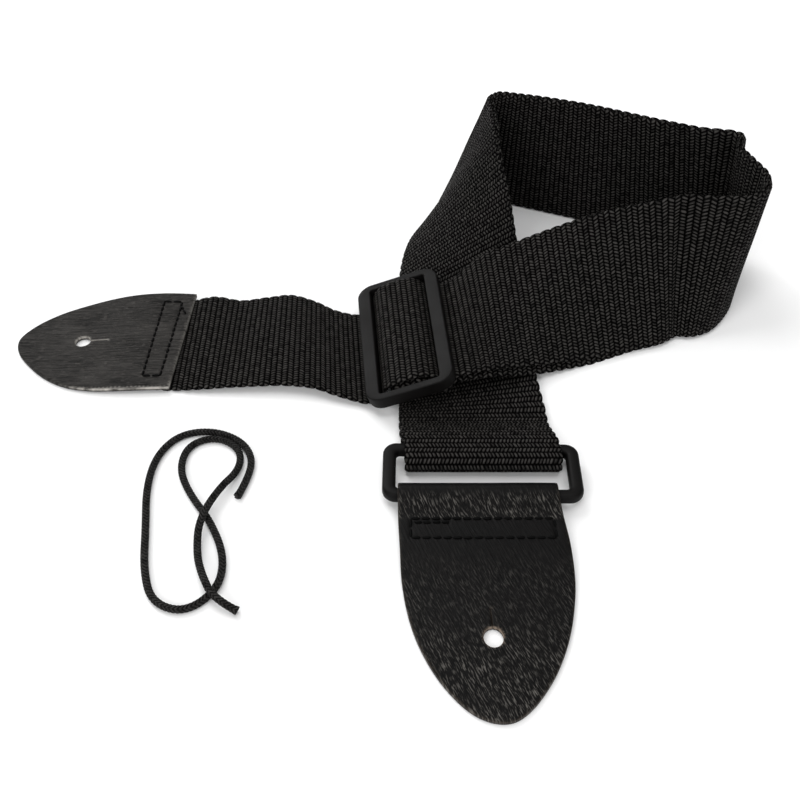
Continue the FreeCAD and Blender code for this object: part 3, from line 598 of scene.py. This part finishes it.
TAIL_OUTLINE = [(-74.9, 50.3), (-86.0, 50.8), (-99.5, 49.8), (-112.2, 46.0), (-124.0, 39.8), (-132.2, 32.0),
                (-135.5, 25.4), (-134.4, 19.6), (-129.5, 13.0), (-121.7, 5.9), (-113.6, 1.5),
                (-105.0, -0.6), (-94.2, -1.1), (-77.1, -0.6)]
TAIL_STITCH = [((-86.9, 45.7), (-79.5, 45.4)), ((-79.5, 45.4), (-81.0, 4.9)), ((-81.0, 4.9), (-87.2, 4.9)),
               ((-87.2, 4.9), (-86.2, 45.7)), ((-79.7, 43.0), (-77.1, 38.4))]
FRONT_STITCH = [((5.2, -58.4), (48.2, -58.4)), ((48.2, -58.4), (48.4, -65.4)),
                ((48.4, -65.4), (5.2, -65.4)), ((5.2, -65.4), (5.2, -58.4)), ((6.0, -59.9), (17.0, -59.7))]


def tail_height(x):
    return 0.9 + 1.45 * smoothstep(x, -122.0, -84.0)


def place_tail(flat, up):
    z = tail_height(flat[:, 0]) + up
    return np.stack([flat[:, 0], flat[:, 1], z], axis=1)


def tail_relief(flat, d):
    soft = 0.05 * smooth_noise(flat[:, 0] / 19 + 9, flat[:, 1] / 19, 3, 2)
    return soft * smoothstep(d, 0, 4) + groove(flat, TAIL_STITCH)


def tail_bare(flat):
    """Undyed cut edges: the seam end, the near side, and round the button hole."""
    x, y = flat[:, 0], flat[:, 1]
    near = smoothstep(x, -122.0, -100.0) * smoothstep(-y, -6.0, 1.0)
    hole = (np.abs(y - 24.6) < 3.4) & (x > -115.6) & (x < -102.0)
    return np.maximum(np.maximum(0.5 * smoothstep(x, -78.5, -76.0), near), 0.8 * hole)


tail_outline = even_ring(closed_curve([np.array(p) for p in TAIL_OUTLINE], corners=(0, 13)), 0.7)
tail_hole = keyhole((-112.3, 24.4), 2.7, (-103.3, 24.9), 0.3)
tail_tab = leather("tail_tab_hide", tail_outline, tail_hole, place_tail,
                   tail_relief, lambda flat: np.full(len(flat), 0.8), tail_bare)
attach(tail_tab, "strap")
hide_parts("tail_tab_leather")


def front_profile():
    """Middle line of the front tab in the Y-Z plane, from its point to the end of the back flap."""
    radius = 3.17
    y0, z0 = FRONT_BAR
    arc = [(y0 + radius * math.sin(a), z0 + radius * math.cos(a))
           for a in np.linspace(-0.2, math.pi + 0.15, 22)]
    top = [(-125.0, 0.9), (-110.0, 0.9), (-92.0, 0.9), (-86.0, 0.95), (-80.0, 1.25), (-74.0, 1.9),
           (-68.0, 2.6), (-62.0, 2.85), (-57.5, 3.4), (-54.0, 5.5)]
    line = top + arc + [(-56.5, 1.05), (-60.0, 0.9), (-66.0, 0.9)]
    curve = catmull_rom(line, 12)
    return curve, distance_along(curve)


PROFILE, PROFILE_RUN = front_profile()
# plan distance of the top flap runs like -y as far as the bar, then on round it
PLAN_START = -125.0


def place_front(flat, up):
    run = flat[:, 1] - PLAN_START
    reach = 0.4
    y, z = resample(PROFILE, PROFILE_RUN, run).T
    ty, tz = (resample(PROFILE, PROFILE_RUN, run + reach) - resample(PROFILE, PROFILE_RUN, run - reach)).T
    length = np.maximum(np.hypot(ty, tz), 1e-9)
    return np.stack([flat[:, 0], y - tz / length * up, z + ty / length * up], axis=1)


def front_wrinkle(flat):
    """Strong near the point and just past the fold, faint between."""
    y = flat[:, 1]
    sides = 0.5 * smoothstep(np.abs(flat[:, 0] - 27.3), 14.0, 22.0) * smoothstep(-y, 74.0, 84.0)
    point = 0.02 + 0.28 * smoothstep(-y, 66.0, 82.0) + 0.7 * smoothstep(-y, 90.0, 112.0)
    fold = 0.9 * smoothstep(y, -59.0, -57.6) * smoothstep(-y, 49.0, 52.0)
    return np.maximum(np.maximum(point, sides), fold)


def front_bare(flat):
    away = np.hypot(flat[:, 0] - 27.6, flat[:, 1] + 98.1)
    return np.where(away < 3.6, 0.75, 0.12)


def front_relief(flat, d):
    x, y = flat[:, 0], flat[:, 1]
    near_point = smoothstep(-y, 88.0, 118.0)
    folds = np.abs(smooth_noise((x * 0.94 + y * 0.34) / 2.1 + 7, (y * 0.94 - x * 0.34) / 7.0 + 3, 5, 2))
    creases = -0.12 * np.clip(0.34 - folds, 0, 1) * near_point
    soft = 0.07 * smooth_noise(x / 19, y / 19 + 4, 8, 2)
    return (soft + creases) * smoothstep(d, 0, 3) + groove(flat, FRONT_STITCH)


flap_end = PLAN_START + PROFILE_RUN[-1]
FRONT_OUTLINE = [(51.6, flap_end), (50.2, -44.0), (50.1, -50.0), (51.3, -58.0), (52.2, -68.0),
                 (52.2, -80.0), (50.6, -90.2), (48.0, -99.6), (43.0, -110.4), (36.0, -119.6),
                 (31.2, -122.8), (26.6, -123.0), (21.0, -120.6), (14.3, -113.7), (8.7, -104.2),
                 (4.8, -93.3), (2.5, -80.0), (1.9, -68.0), (1.4, -58.0), (1.3, -50.0), (1.4, -44.0),
                 (2.2, flap_end)]
flap_corners = (0, len(FRONT_OUTLINE) - 1)
front_outline = even_ring(closed_curve([np.array(p) for p in FRONT_OUTLINE], corners=flap_corners), 0.7)
front_hole = keyhole((27.6, -98.1), 2.75, (27.3, -89.0), 0.1, 3.15)
front_tab = leather("front_tab_hide", front_outline, front_hole, place_front,
                    front_relief, front_wrinkle, front_bare)
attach(front_tab, "front_tab")
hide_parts("front_tab_leather")


# ------------------------------------------------------------------ stitches
def capsule(start, end, up, radius):
    """A short bar of thread: raised in the middle, with both ends sunk."""
    rows = []
    side = unit(np.cross(up, end - start))
    for t in np.linspace(0, 1, 9):
        swell = math.sqrt(max(0.04, 1 - (2 * t - 1) ** 4))
        middle = start * (1 - t) + end * t + up * (0.26 * math.sin(math.pi * t) - 0.22)
        for a in np.linspace(0, 2 * math.pi, 8, endpoint=False):
            rows.append(middle + radius * swell * (math.cos(a) * side + math.sin(a) * up))
    return np.array(rows), grid_faces(9, 8, wrap=True) + [list(range(7, -1, -1)), [64 + i for i in range(8)]]


def stitches(name, lines, place, pitch=3.0, radius=0.44, gap=0.35):
    rng = random.Random(4)
    points, faces = [], []
    for a, b in lines:
        a, b = np.array(a, float), np.array(b, float)
        length = np.linalg.norm(b - a)
        count = max(1, int(round(length / pitch)))
        for i in range(count):
            t0 = (i + gap / 2 / pitch) / count
            t1 = (i + 1 - gap / 2 / pitch) / count
            ends = np.array([a + (b - a) * t0, a + (b - a) * t1]) + rng.uniform(-0.08, 0.08)
            low, high = place(ends, np.zeros(2)), place(ends, np.ones(2))
            up = unit(high[0] - low[0])
            start, end = place(ends, np.full(2, LEATHER / 2))
            block, quads = capsule(start, end, up, radius * rng.uniform(0.92, 1.08))
            offset = len(points) * 72
            points.append(block)
            faces += [[k + offset for k in quad] for quad in quads]
    return mesh_object(name, np.vstack(points), faces)


tail_stitches = stitches("tail_tab_thread", TAIL_STITCH, place_tail)
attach(tail_stitches, "strap")
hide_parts("tail_tab_stitching")
front_stitches = stitches("front_tab_thread", FRONT_STITCH, place_front)
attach(front_stitches, "front_tab")
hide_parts("front_tab_stitching")


def place_sewn(flat, up):
    """Plan points u, v under the slider's sewn end."""
    down = -6.9 - (up - LEATHER / 2)
    return SLIDER_CENTRE + flat[:, :1] * ALONG + flat[:, 1:] * ACROSS + down[:, None] * OUT


SEWN_STITCH = [((9.8, -21.0), (14.2, -21.0)), ((14.2, -21.0), (14.2, 21.0)), ((14.2, 21.0), (9.8, 21.0)),
               ((9.8, 21.0), (9.8, -21.0))]
sewn_stitches = stitches("sewn_end_thread", SEWN_STITCH, place_sewn)
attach(sewn_stitches, "slider")
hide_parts("sewn_end_stitching")


# ------------------------------------------------------------------ slider and ring
def rounded_rectangle(half_x, half_y, radius, count=40):
    """Evenly named points of a rounded rectangle, the same number on each side and corner."""
    rows = []
    corners = [(1, 1, 0), (-1, 1, 90), (-1, -1, 180), (1, -1, 270)]
    for sx, sy, start in corners:
        for a in np.linspace(start, start + 90, 13):
            rows.append((sx * (half_x - radius) + radius * math.cos(math.radians(a)),
                         sy * (half_y - radius) + radius * math.sin(math.radians(a))))
    ring = []
    for a, b in zip(rows, rows[1:] + rows[:1]):
        steps = max(1, int(math.hypot(b[0] - a[0], b[1] - a[1]) / 1.2))
        steps = count // 2 if steps > 3 else 1
        for t in range(steps):
            ring.append((a[0] + (b[0] - a[0]) * t / steps, a[1] + (b[1] - a[1]) * t / steps))
    return np.array(ring)


def frame_ring(outer, inner, thickness, sharpness=4.0, sections=20):
    """Closed frame between two outlines with the same number of points."""
    middle, half = (outer + inner) / 2, (outer - inner) / 2
    points = []
    for a in np.linspace(0, 2 * math.pi, sections, endpoint=False):
        c, sn = math.cos(a), math.sin(a)
        x = math.copysign(abs(c) ** (2 / sharpness), c)
        z = math.copysign(abs(sn) ** (2 / sharpness), sn)
        ring = middle + half * x
        points.append(np.column_stack([ring, np.full(len(ring), z * thickness / 2)]))
    block = np.stack(points, axis=1)
    rows = len(outer)
    faces = []
    for i in range(rows):
        for k in range(sections):
            i2, k2 = (i + 1) % rows, (k + 1) % sections
            faces.append([i * sections + k, i2 * sections + k, i2 * sections + k2, i * sections + k2])
    return block.reshape(-1, 3), faces


def bar(half_x, half_y, low, high, sections=20, sharpness=4.0):
    rows = []
    steps = 30
    for j in range(steps + 1):
        y = -half_y + 2 * half_y * j / steps
        for a in np.linspace(0, 2 * math.pi, sections, endpoint=False):
            c, sn = math.cos(a), math.sin(a)
            x = math.copysign(abs(c) ** (2 / sharpness), c)
            z = math.copysign(abs(sn) ** (2 / sharpness), sn)
            rows.append((x * half_x, y, (low + high) / 2 + z * (high - low) / 2))
    faces = [face[::-1] for face in grid_faces(steps + 1, sections, wrap=True)]
    last = steps * sections
    caps = [list(range(sections)), [last + k for k in reversed(range(sections))]]
    return np.array(rows), faces + caps


def place_mesh(points, centre, along, across, out):
    return centre + points[:, :1] * along + points[:, 1:2] * across + points[:, 2:] * out


# half sizes of the outlines, millimetres
SLIDER_OUTER, SLIDER_INNER, SLIDER_THICK = (15.3, 30.5), (10.4, 27.5), 4.5
RING_OUTER, RING_INNER, RING_THICK = (31.0, 11.25), (26.8, 7.65), 4.0

outer = rounded_rectangle(*SLIDER_OUTER, 5.8)
inner = rounded_rectangle(*SLIDER_INNER, 1.0)
points, faces = frame_ring(outer, inner, SLIDER_THICK, sharpness=9.0, sections=28)
more, more_faces = bar(2.5, 28.0, -2.25, 0.15)
faces = faces + [[k + len(points) for k in f] for f in more_faces]
points = np.vstack([points, more])
slider = mesh_object("slider_body", place_mesh(points, SLIDER_CENTRE, ALONG, ACROSS, OUT), faces)
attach(slider, "slider")
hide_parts("slider_frame")

outer = rounded_rectangle(*RING_OUTER, 4.2)
inner = rounded_rectangle(*RING_INNER, 1.5)
points, faces = frame_ring(outer, inner, RING_THICK, sharpness=3.0, sections=28)
lean = math.radians(-0.6)
c, sn = math.cos(lean), math.sin(lean)
points = points @ np.array([[c, sn, 0], [-sn, c, 0], [0, 0, 1]])
ring_centre = np.array([27.5, (BACK_BAR[0] + FRONT_BAR[0]) / 2, 4.25])
ring = mesh_object("ring_body", points + ring_centre, faces)
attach(ring, "ring")
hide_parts("ring_frame")

# ------------------------------------------------------------------ tie lace
LACE_D = 2.25
LACE_Z = 1.25
OVER = 3.8
LACE_ROUTE = [
    (-48.3, -48.0, LACE_Z), (-46.0, -41.3, LACE_Z), (-45.1, -31.9, LACE_Z), (-49.7, -24.2, LACE_Z),
    (-59.5, -19.6, LACE_Z), (-70.2, -21.3, LACE_Z), (-76.3, -30.5, LACE_Z), (-77.2, -44.0, LACE_Z),
    (-74.5, -60.0, LACE_Z), (-72.3, -75.5, LACE_Z), (-68.0, -86.8, LACE_Z), (-58.0, -90.2, LACE_Z),
    (-49.8, -82.2, LACE_Z), (-49.4, -71.0, LACE_Z), (-55.0, -58.0, LACE_Z), (-63.5, -46.5, LACE_Z),
    (-68.2, -36.0, LACE_Z), (-66.6, -25.8, LACE_Z), (-57.8, -22.4, LACE_Z), (-49.5, -27.9, LACE_Z),
    (-48.9, -36.8, LACE_Z), (-54.0, -47.0, OVER), (-58.3, -59.0, OVER), (-57.8, -69.6, LACE_Z),
    (-54.6, -79.0, OVER), (-50.2, -87.2, OVER), (-43.4, -89.6, LACE_Z),
]
route_data = bpy.data.curves.new("lace_route", "CURVE")
route_data.dimensions = "3D"
route_data.resolution_u = 16
spline = route_data.splines.new("NURBS")
spline.points.add(len(LACE_ROUTE) - 1)
for point, (x, y, z) in zip(spline.points, LACE_ROUTE):
    point.co = (x * MM, y * MM, z * MM, 1.0)
spline.order_u = 3
spline.use_endpoint_u = True
route = bpy.data.objects.new("lace_route", route_data)
bpy.context.scene.collection.objects.link(route)
route_mesh = bpy.data.meshes.new_from_object(route)
line = np.array([v.co[:] for v in route_mesh.vertices]) / MM
bpy.data.objects.remove(route)


def lace_mesh(line):
    """Round braid that follows the line, with frayed ends."""
    run = distance_along(line)
    step, sides = 0.22, 30
    s = np.linspace(0, run[-1], int(run[-1] / step))
    centre = resample(line, run, s)
    ahead = unit(np.gradient(centre, axis=0))
    side = unit(np.cross(ahead, np.array([0, 0, 1.0])))
    up = np.cross(side, ahead)
    a = np.linspace(0, 2 * math.pi, sides, endpoint=False)
    turn = a[None, :] + 0 * s[:, None]
    along = s[:, None] + 0 * turn
    strands = 6
    pitch = 7.2
    one = strands * (turn / (2 * math.pi) + along / pitch)
    two = strands * (turn / (2 * math.pi) - along / pitch)
    height = np.maximum(np.abs(np.sin(math.pi * one)) ** 0.7 * (np.sin(math.pi * (one + two) / 2) > 0),
                        np.abs(np.sin(math.pi * two)) ** 0.7 * (np.sin(math.pi * (one + two) / 2) <= 0))
    end = np.minimum(s, s[-1] - s)
    swell = 1 + 0.10 * np.exp(-(end / 1.6) ** 2)
    fray = np.exp(-(end / 0.8) ** 2)[:, None] * (np.sin(3 * turn + 1.0) + 0.6 * np.sin(7 * turn))
    radius = (LACE_D / 2 - 0.16 + 0.2 * height) * (swell[:, None] + 0.2 * fray)
    points = (centre[:, None] + side[:, None] * (radius * np.cos(turn))[..., None]
              + up[:, None] * (radius * np.sin(turn))[..., None])
    faces = grid_faces(len(s), sides, wrap=True)
    faces += [list(range(sides))[::-1], [(len(s) - 1) * sides + i for i in range(sides)]]
    points[..., 2] = np.maximum(points[..., 2], 0.03)
    obj = mesh_object("tie_lace_braid", points.reshape(-1, 3), faces)
    store(obj, "yarn", height)
    return obj, centre, run[-1]


lace, lace_path, lace_length = lace_mesh(line)
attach(lace, "lace")
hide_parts("tie_lace")

strip_pieces = list(cloth.values())
# the other pieces lie on the floor
print("lace", round(lace_length, 1), "mm")


# ------------------------------------------------------------------ materials
def new_material(name):
    material = bpy.data.materials.new(name)
    material.use_nodes = True
    nodes = material.node_tree.nodes
    nodes.clear()
    out = nodes.new("ShaderNodeOutputMaterial")
    shader = nodes.new("ShaderNodeBsdfPrincipled")
    material.node_tree.links.new(shader.outputs[0], out.inputs[0])
    return material, material.node_tree, shader


def node(tree, kind, **values):
    made = tree.nodes.new(kind)
    for key, value in values.items():
        if key in made.inputs:
            made.inputs[key].default_value = value
        else:
            setattr(made, key, value)
    return made


def ramp(tree, source, stops):
    made = tree.nodes.new("ShaderNodeValToRGB")
    elements = made.color_ramp.elements
    while len(elements) < len(stops):
        elements.new(0.5)
    for element, (position, value) in zip(elements, stops):
        element.position = position
        element.color = (*value, 1.0) if hasattr(value, "__len__") else (value, value, value, 1.0)
    tree.links.new(source, made.inputs[0])
    return made.outputs[0]


def calc(tree, operation, *inputs, clamp=False):
    """Math node on sockets or plain numbers."""
    made = tree.nodes.new("ShaderNodeMath")
    made.operation = operation
    made.use_clamp = clamp
    for k, value in enumerate(inputs):
        if isinstance(value, (int, float)):
            made.inputs[k].default_value = value
        else:
            tree.links.new(value, made.inputs[k])
    return made.outputs[0]


def uv_axes(tree, name):
    coords = node(tree, "ShaderNodeUVMap", uv_map=name)
    split = tree.nodes.new("ShaderNodeSeparateXYZ")
    tree.links.new(coords.outputs[0], split.inputs[0])
    return split.outputs[0], split.outputs[1]


def noise_at(tree, x, y, **values):
    """Noise texture at two computed coordinates."""
    vector = tree.nodes.new("ShaderNodeCombineXYZ")
    for k, value in enumerate((x, y)):
        tree.links.new(value, vector.inputs[k])
    made = node(tree, "ShaderNodeTexNoise", **values)
    tree.links.new(vector.outputs[0], made.inputs["Vector"])
    return made.outputs[0]


def add_bump(tree, shader, height, strength, distance):
    bump = node(tree, "ShaderNodeBump", Strength=strength, Distance=distance)
    tree.links.new(height, bump.inputs["Height"])
    tree.links.new(bump.outputs[0], shader.inputs["Normal"])


def yarn_look(tree, shader, height, strand, fleck, stops, shine):
    """Colour, gloss and bump of yarn: painted shade makes the colour black between the strokes and painted
    highlight makes it lighter on top of them, with painted glints from the flecks and the filaments; glossy on
    top of them.
    """
    link = tree.links.new
    # painted shade and highlight: the base colour follows the height of the yarn, dark in the valleys and
    # light on the tops; the flecks and the filaments brighten it in spots and streaks as painted glints
    lit = calc(tree, "MULTIPLY", height, calc(tree, "MULTIPLY_ADD", fleck, 1.1, 0.5))
    lit = calc(tree, "MULTIPLY", lit, calc(tree, "MULTIPLY_ADD", strand, 1.3, 0.32))
    link(ramp(tree, lit, stops), shader.inputs["Base Color"])
    link(calc(tree, "MULTIPLY", lit, shine, clamp=True), shader.inputs["Specular IOR Level"])
    link(calc(tree, "MULTIPLY_ADD", strand, -0.30, 0.78), shader.inputs["Roughness"])
    add_bump(tree, shader, calc(tree, "MULTIPLY_ADD", strand, 0.25, height), 0.8, 0.0004)


def webbing_material(name, stops, shine):
    """The slanted strokes of yarn on each rib, with filaments along them."""
    material, tree, shader = new_material(name)
    s, v = uv_axes(tree, "cloth")
    place = calc(tree, "DIVIDE", s, RIB)
    column = calc(tree, "FLOOR", place)
    u = calc(tree, "SUBTRACT", place, column)
    odd = calc(tree, "FLOORED_MODULO", column, 2.0)
    lean = calc(tree, "MULTIPLY", calc(tree, "MULTIPLY_ADD", odd, 2.0, -1.0), calc(tree, "SUBTRACT", u, 0.5))
    sway = calc(tree, "SINE", calc(tree, "MULTIPLY_ADD", column, 2.3, calc(tree, "MULTIPLY", v, 0.9)))
    q = calc(tree, "MULTIPLY_ADD", lean, LEAN, calc(tree, "DIVIDE", v, STROKE))
    q = calc(tree, "MULTIPLY_ADD", odd, 0.5, calc(tree, "MULTIPLY_ADD", sway, 0.12, q))
    stroke = calc(tree, "MULTIPLY_ADD", calc(tree, "FRACT", q), 2.0, -1.0)
    across = calc(tree, "MULTIPLY_ADD", u, 2.0, -1.0)
    stroke = calc(tree, "POWER", calc(tree, "ABSOLUTE", stroke), 1.5)
    stroke = calc(tree, "SUBTRACT", 1.0, stroke, clamp=True)
    rib = calc(tree, "POWER", calc(tree, "ABSOLUTE", across), 3.5)
    rib = calc(tree, "SUBTRACT", 1.0, rib, clamp=True)
    height = calc(tree, "POWER", calc(tree, "MULTIPLY", stroke, rib), 0.75)
    # filament streaks along the strokes: they vary roughness and bump, and in the colour they are painted
    # glints
    strand = noise_at(tree, calc(tree, "MULTIPLY", q, 7.0), calc(tree, "MULTIPLY_ADD", u, 0.8, column),
                      Scale=1.0, Detail=1.0)
    # painted glints: a random brightness for each stroke
    fleck = noise_at(tree, calc(tree, "FLOOR", q), calc(tree, "MULTIPLY", column, 1.7), Scale=0.63, Detail=2.0)
    yarn_look(tree, shader, height, strand, fleck, stops, shine)
    return material


def braid_material(name, stops, shine):
    """Braided cord: the yarn attribute of its mesh, with fine filaments."""
    material, tree, shader = new_material(name)
    yarn = node(tree, "ShaderNodeAttribute", attribute_name="yarn")
    coords = node(tree, "ShaderNodeTexCoord")
    fine = node(tree, "ShaderNodeTexNoise", Scale=2200.0, Detail=1.0)
    tree.links.new(coords.outputs["Object"], fine.inputs["Vector"])
    coarse = node(tree, "ShaderNodeTexNoise", Scale=500.0, Detail=1.0)
    tree.links.new(coords.outputs["Object"], coarse.inputs["Vector"])
    # painted shade in the grooves between the strands and painted highlight on them, with painted glints from
    # the fine and coarse noise
    yarn_look(tree, shader, yarn.outputs["Fac"], fine.outputs[0], coarse.outputs[0], stops, shine)
    return material


def leather_material(name, base, fleck, raw, angle, fineness, shine, rough):
    """Finished leather. Its grain runs at an angle in the plan; the wrinkle attribute says how
    strongly it shows, the wall attribute where the cut edge is bare."""
    material, tree, shader = new_material(name)
    link = tree.links.new
    x, y = uv_axes(tree, "hide")
    c, sn = math.cos(angle), math.sin(angle)
    along = calc(tree, "MULTIPLY_ADD", x, c, calc(tree, "MULTIPLY", y, sn))
    across = calc(tree, "MULTIPLY_ADD", x, -sn, calc(tree, "MULTIPLY", y, c))
    bend = noise_at(tree, calc(tree, "MULTIPLY", along, 0.10), calc(tree, "MULTIPLY", across, 0.14),
                    Scale=1.0, Detail=2.0)
    swayed = calc(tree, "MULTIPLY_ADD", across, 0.95 * fineness, calc(tree, "MULTIPLY", bend, 2.6))
    line = noise_at(tree, calc(tree, "MULTIPLY", along, 0.42), swayed, Scale=1.0, Detail=2.0, Roughness=0.5)
    line = calc(tree, "MULTIPLY_ADD", line, 8.0, -4.1, clamp=True)
    broken = noise_at(tree, calc(tree, "MULTIPLY", along, 0.16), calc(tree, "MULTIPLY", across, 0.3),
                      Scale=1.0, Detail=3.0)
    broken = calc(tree, "MULTIPLY_ADD", broken, 2.2, -0.4, clamp=True)
    wrinkle = node(tree, "ShaderNodeAttribute", attribute_name="wrinkle").outputs["Fac"]
    line = calc(tree, "MULTIPLY", calc(tree, "MULTIPLY", line, broken), wrinkle)
    pores = noise_at(tree, calc(tree, "MULTIPLY", along, 0.11), calc(tree, "MULTIPLY", across, 1.5),
                     Scale=1.0, Detail=3.0, Roughness=0.65)
    patches = noise_at(tree, calc(tree, "MULTIPLY", x, 0.06), calc(tree, "MULTIPLY", y, 0.06),
                       Scale=1.0, Detail=3.0)
    tone = ramp(tree, calc(tree, "MULTIPLY_ADD", pores, 0.6, calc(tree, "MULTIPLY", patches, 0.4)),
                [(0.41, tuple(k * 0.4 for k in base)), (0.59, tuple(k * 1.9 for k in base))])
    worn = node(tree, "ShaderNodeMix", data_type="RGBA")
    link(line, worn.inputs["Factor"])
    link(tone, worn.inputs[6])
    worn.inputs[7].default_value = (*fleck, 1.0)
    cut = node(tree, "ShaderNodeAttribute", attribute_name="wall")
    torn = calc(tree, "MULTIPLY", cut.outputs["Fac"], calc(tree, "MULTIPLY_ADD", pores, 4.0, -1.2, clamp=True))
    edge = node(tree, "ShaderNodeMix", data_type="RGBA")
    link(torn, edge.inputs["Factor"])
    link(worn.outputs[2], edge.inputs[6])
    edge.inputs[7].default_value = (*raw, 1.0)
    link(edge.outputs[2], shader.inputs["Base Color"])
    link(calc(tree, "MULTIPLY_ADD", pores, -0.25, rough + 0.12), shader.inputs["Roughness"])
    shader.inputs["Specular IOR Level"].default_value = shine
    height = calc(tree, "MULTIPLY_ADD", line, 0.5, calc(tree, "MULTIPLY", pores, 0.6))
    add_bump(tree, shader, height, 1.0, 0.00035)
    return material


def plastic_material(name, base, shine, rough):
    material, tree, shader = new_material(name)
    link = tree.links.new
    coords = node(tree, "ShaderNodeTexCoord")
    fine = node(tree, "ShaderNodeTexNoise", Scale=900.0, Detail=4.0)
    link(coords.outputs["Object"], fine.inputs["Vector"])
    wear = node(tree, "ShaderNodeTexNoise", Scale=90.0, Detail=5.0)
    link(coords.outputs["Object"], wear.inputs["Vector"])
    stops = [(0.35, tuple(c * 0.8 for c in base)), (0.7, tuple(c * 1.25 for c in base))]
    tone = ramp(tree, wear.outputs[0], stops)
    link(tone, shader.inputs["Base Color"])
    link(ramp(tree, wear.outputs[0], [(0.3, rough - 0.07), (0.7, rough + 0.08)]), shader.inputs["Roughness"])
    shader.inputs["Specular IOR Level"].default_value = shine
    add_bump(tree, shader, fine.outputs[0], 0.2, 0.00006)
    return material


# painted shade: the colour in the valleys between the yarn strokes and between the strands of the lace; the
# lightest stop of each ramp is the painted highlight on top of the yarn
PAINTED_VALLEY_SHADE = (0.0003, 0.0002, 0.0002)
webbing_mat = webbing_material("webbing", [(0.25, PAINTED_VALLEY_SHADE), (0.6, (0.0019, 0.0017, 0.0016)),
                                           (1.0, (0.035, 0.0328, 0.0305))], 0.09)
lace_mat = braid_material("lace", [(0.25, PAINTED_VALLEY_SHADE), (0.6, (0.002, 0.0018, 0.0017)),
                                   (1.0, (0.016, 0.0148, 0.014))], 0.2)
thread_mat = plastic_material("thread", (0.0010, 0.0010, 0.0010), 0.06, 0.6)
tail_mat = leather_material("leather_tail", (0.0165, 0.0155, 0.0145), (0.050, 0.047, 0.044),
                            (0.40, 0.38, 0.35), 0.03, 1.5, 0.038, 0.44)
front_mat = leather_material("leather_front", (0.0009, 0.0007, 0.0007), (0.095, 0.090, 0.082),
                             (0.28, 0.22, 0.17), -1.16, 2.5, 0.09, 0.44)
plastic_mat = plastic_material("plastic", (0.0028, 0.0025, 0.0024), 0.09, 0.5)


def dress(obj, material):
    obj.data.materials.clear()
    obj.data.materials.append(material)


for obj in strip_pieces:
    dress(obj, webbing_mat)
dress(lace, lace_mat)
dress(tail_tab, tail_mat)
dress(front_tab, front_mat)
for obj in (tail_stitches, front_stitches, sewn_stitches):
    dress(obj, thread_mat)
for obj in (slider, ring):
    dress(obj, plastic_mat)


# ------------------------------------------------------------------ floor and light
def floor_plane():
    size = 3000.0
    obj = mesh_object("floor", [(-size, -size, 0), (size, -size, 0), (size, size, 0), (-size, size, 0)],
                      [[0, 1, 2, 3]], smooth=False)
    material, _, shader = new_material("floor")
    shader.inputs["Base Color"].default_value = (0.90, 0.90, 0.90, 1.0)
    shader.inputs["Roughness"].default_value = 0.9
    shader.inputs["Specular IOR Level"].default_value = 0.1
    obj.data.materials.append(material)
    return obj


def area_light(name, location, target, size, power):
    data = bpy.data.lights.new(name, "AREA")
    data.shape = "DISK"
    data.size = size
    data.energy = power
    obj = bpy.data.objects.new(name, data)
    obj.location = location
    obj.rotation_euler = (Vector(target) - Vector(location)).to_track_quat("-Z", "Y").to_euler()
    bpy.context.scene.collection.objects.link(obj)
    return obj


floor = floor_plane()
area_light("key", (-0.45, 0.75, 1.0), (0, 0, 0), 0.9, 8.5)
area_light("overhead", (0.12, -0.1, 1.4), (0.05, 0, 0), 1.0, 7.0)
area_light("front_left", (-0.75, -1.05, 0.75), (0, 0, 0), 1.0, 10.5)
area_light("front_right", (0.65, -1.2, 0.5), (0, 0, 0), 1.2, 6.5)
area_light("glint", (-0.70, 0.85, 0.45), (0, 0, 0), 0.25, 2.0)
world = bpy.data.worlds.new("world")
world.use_nodes = True
world.node_tree.nodes["Background"].inputs[0].default_value = (1.0, 1.0, 1.0, 1.0)
world.node_tree.nodes["Background"].inputs[1].default_value = 0.37
bpy.context.scene.world = world
bpy.context.scene.view_settings.view_transform = "Standard"
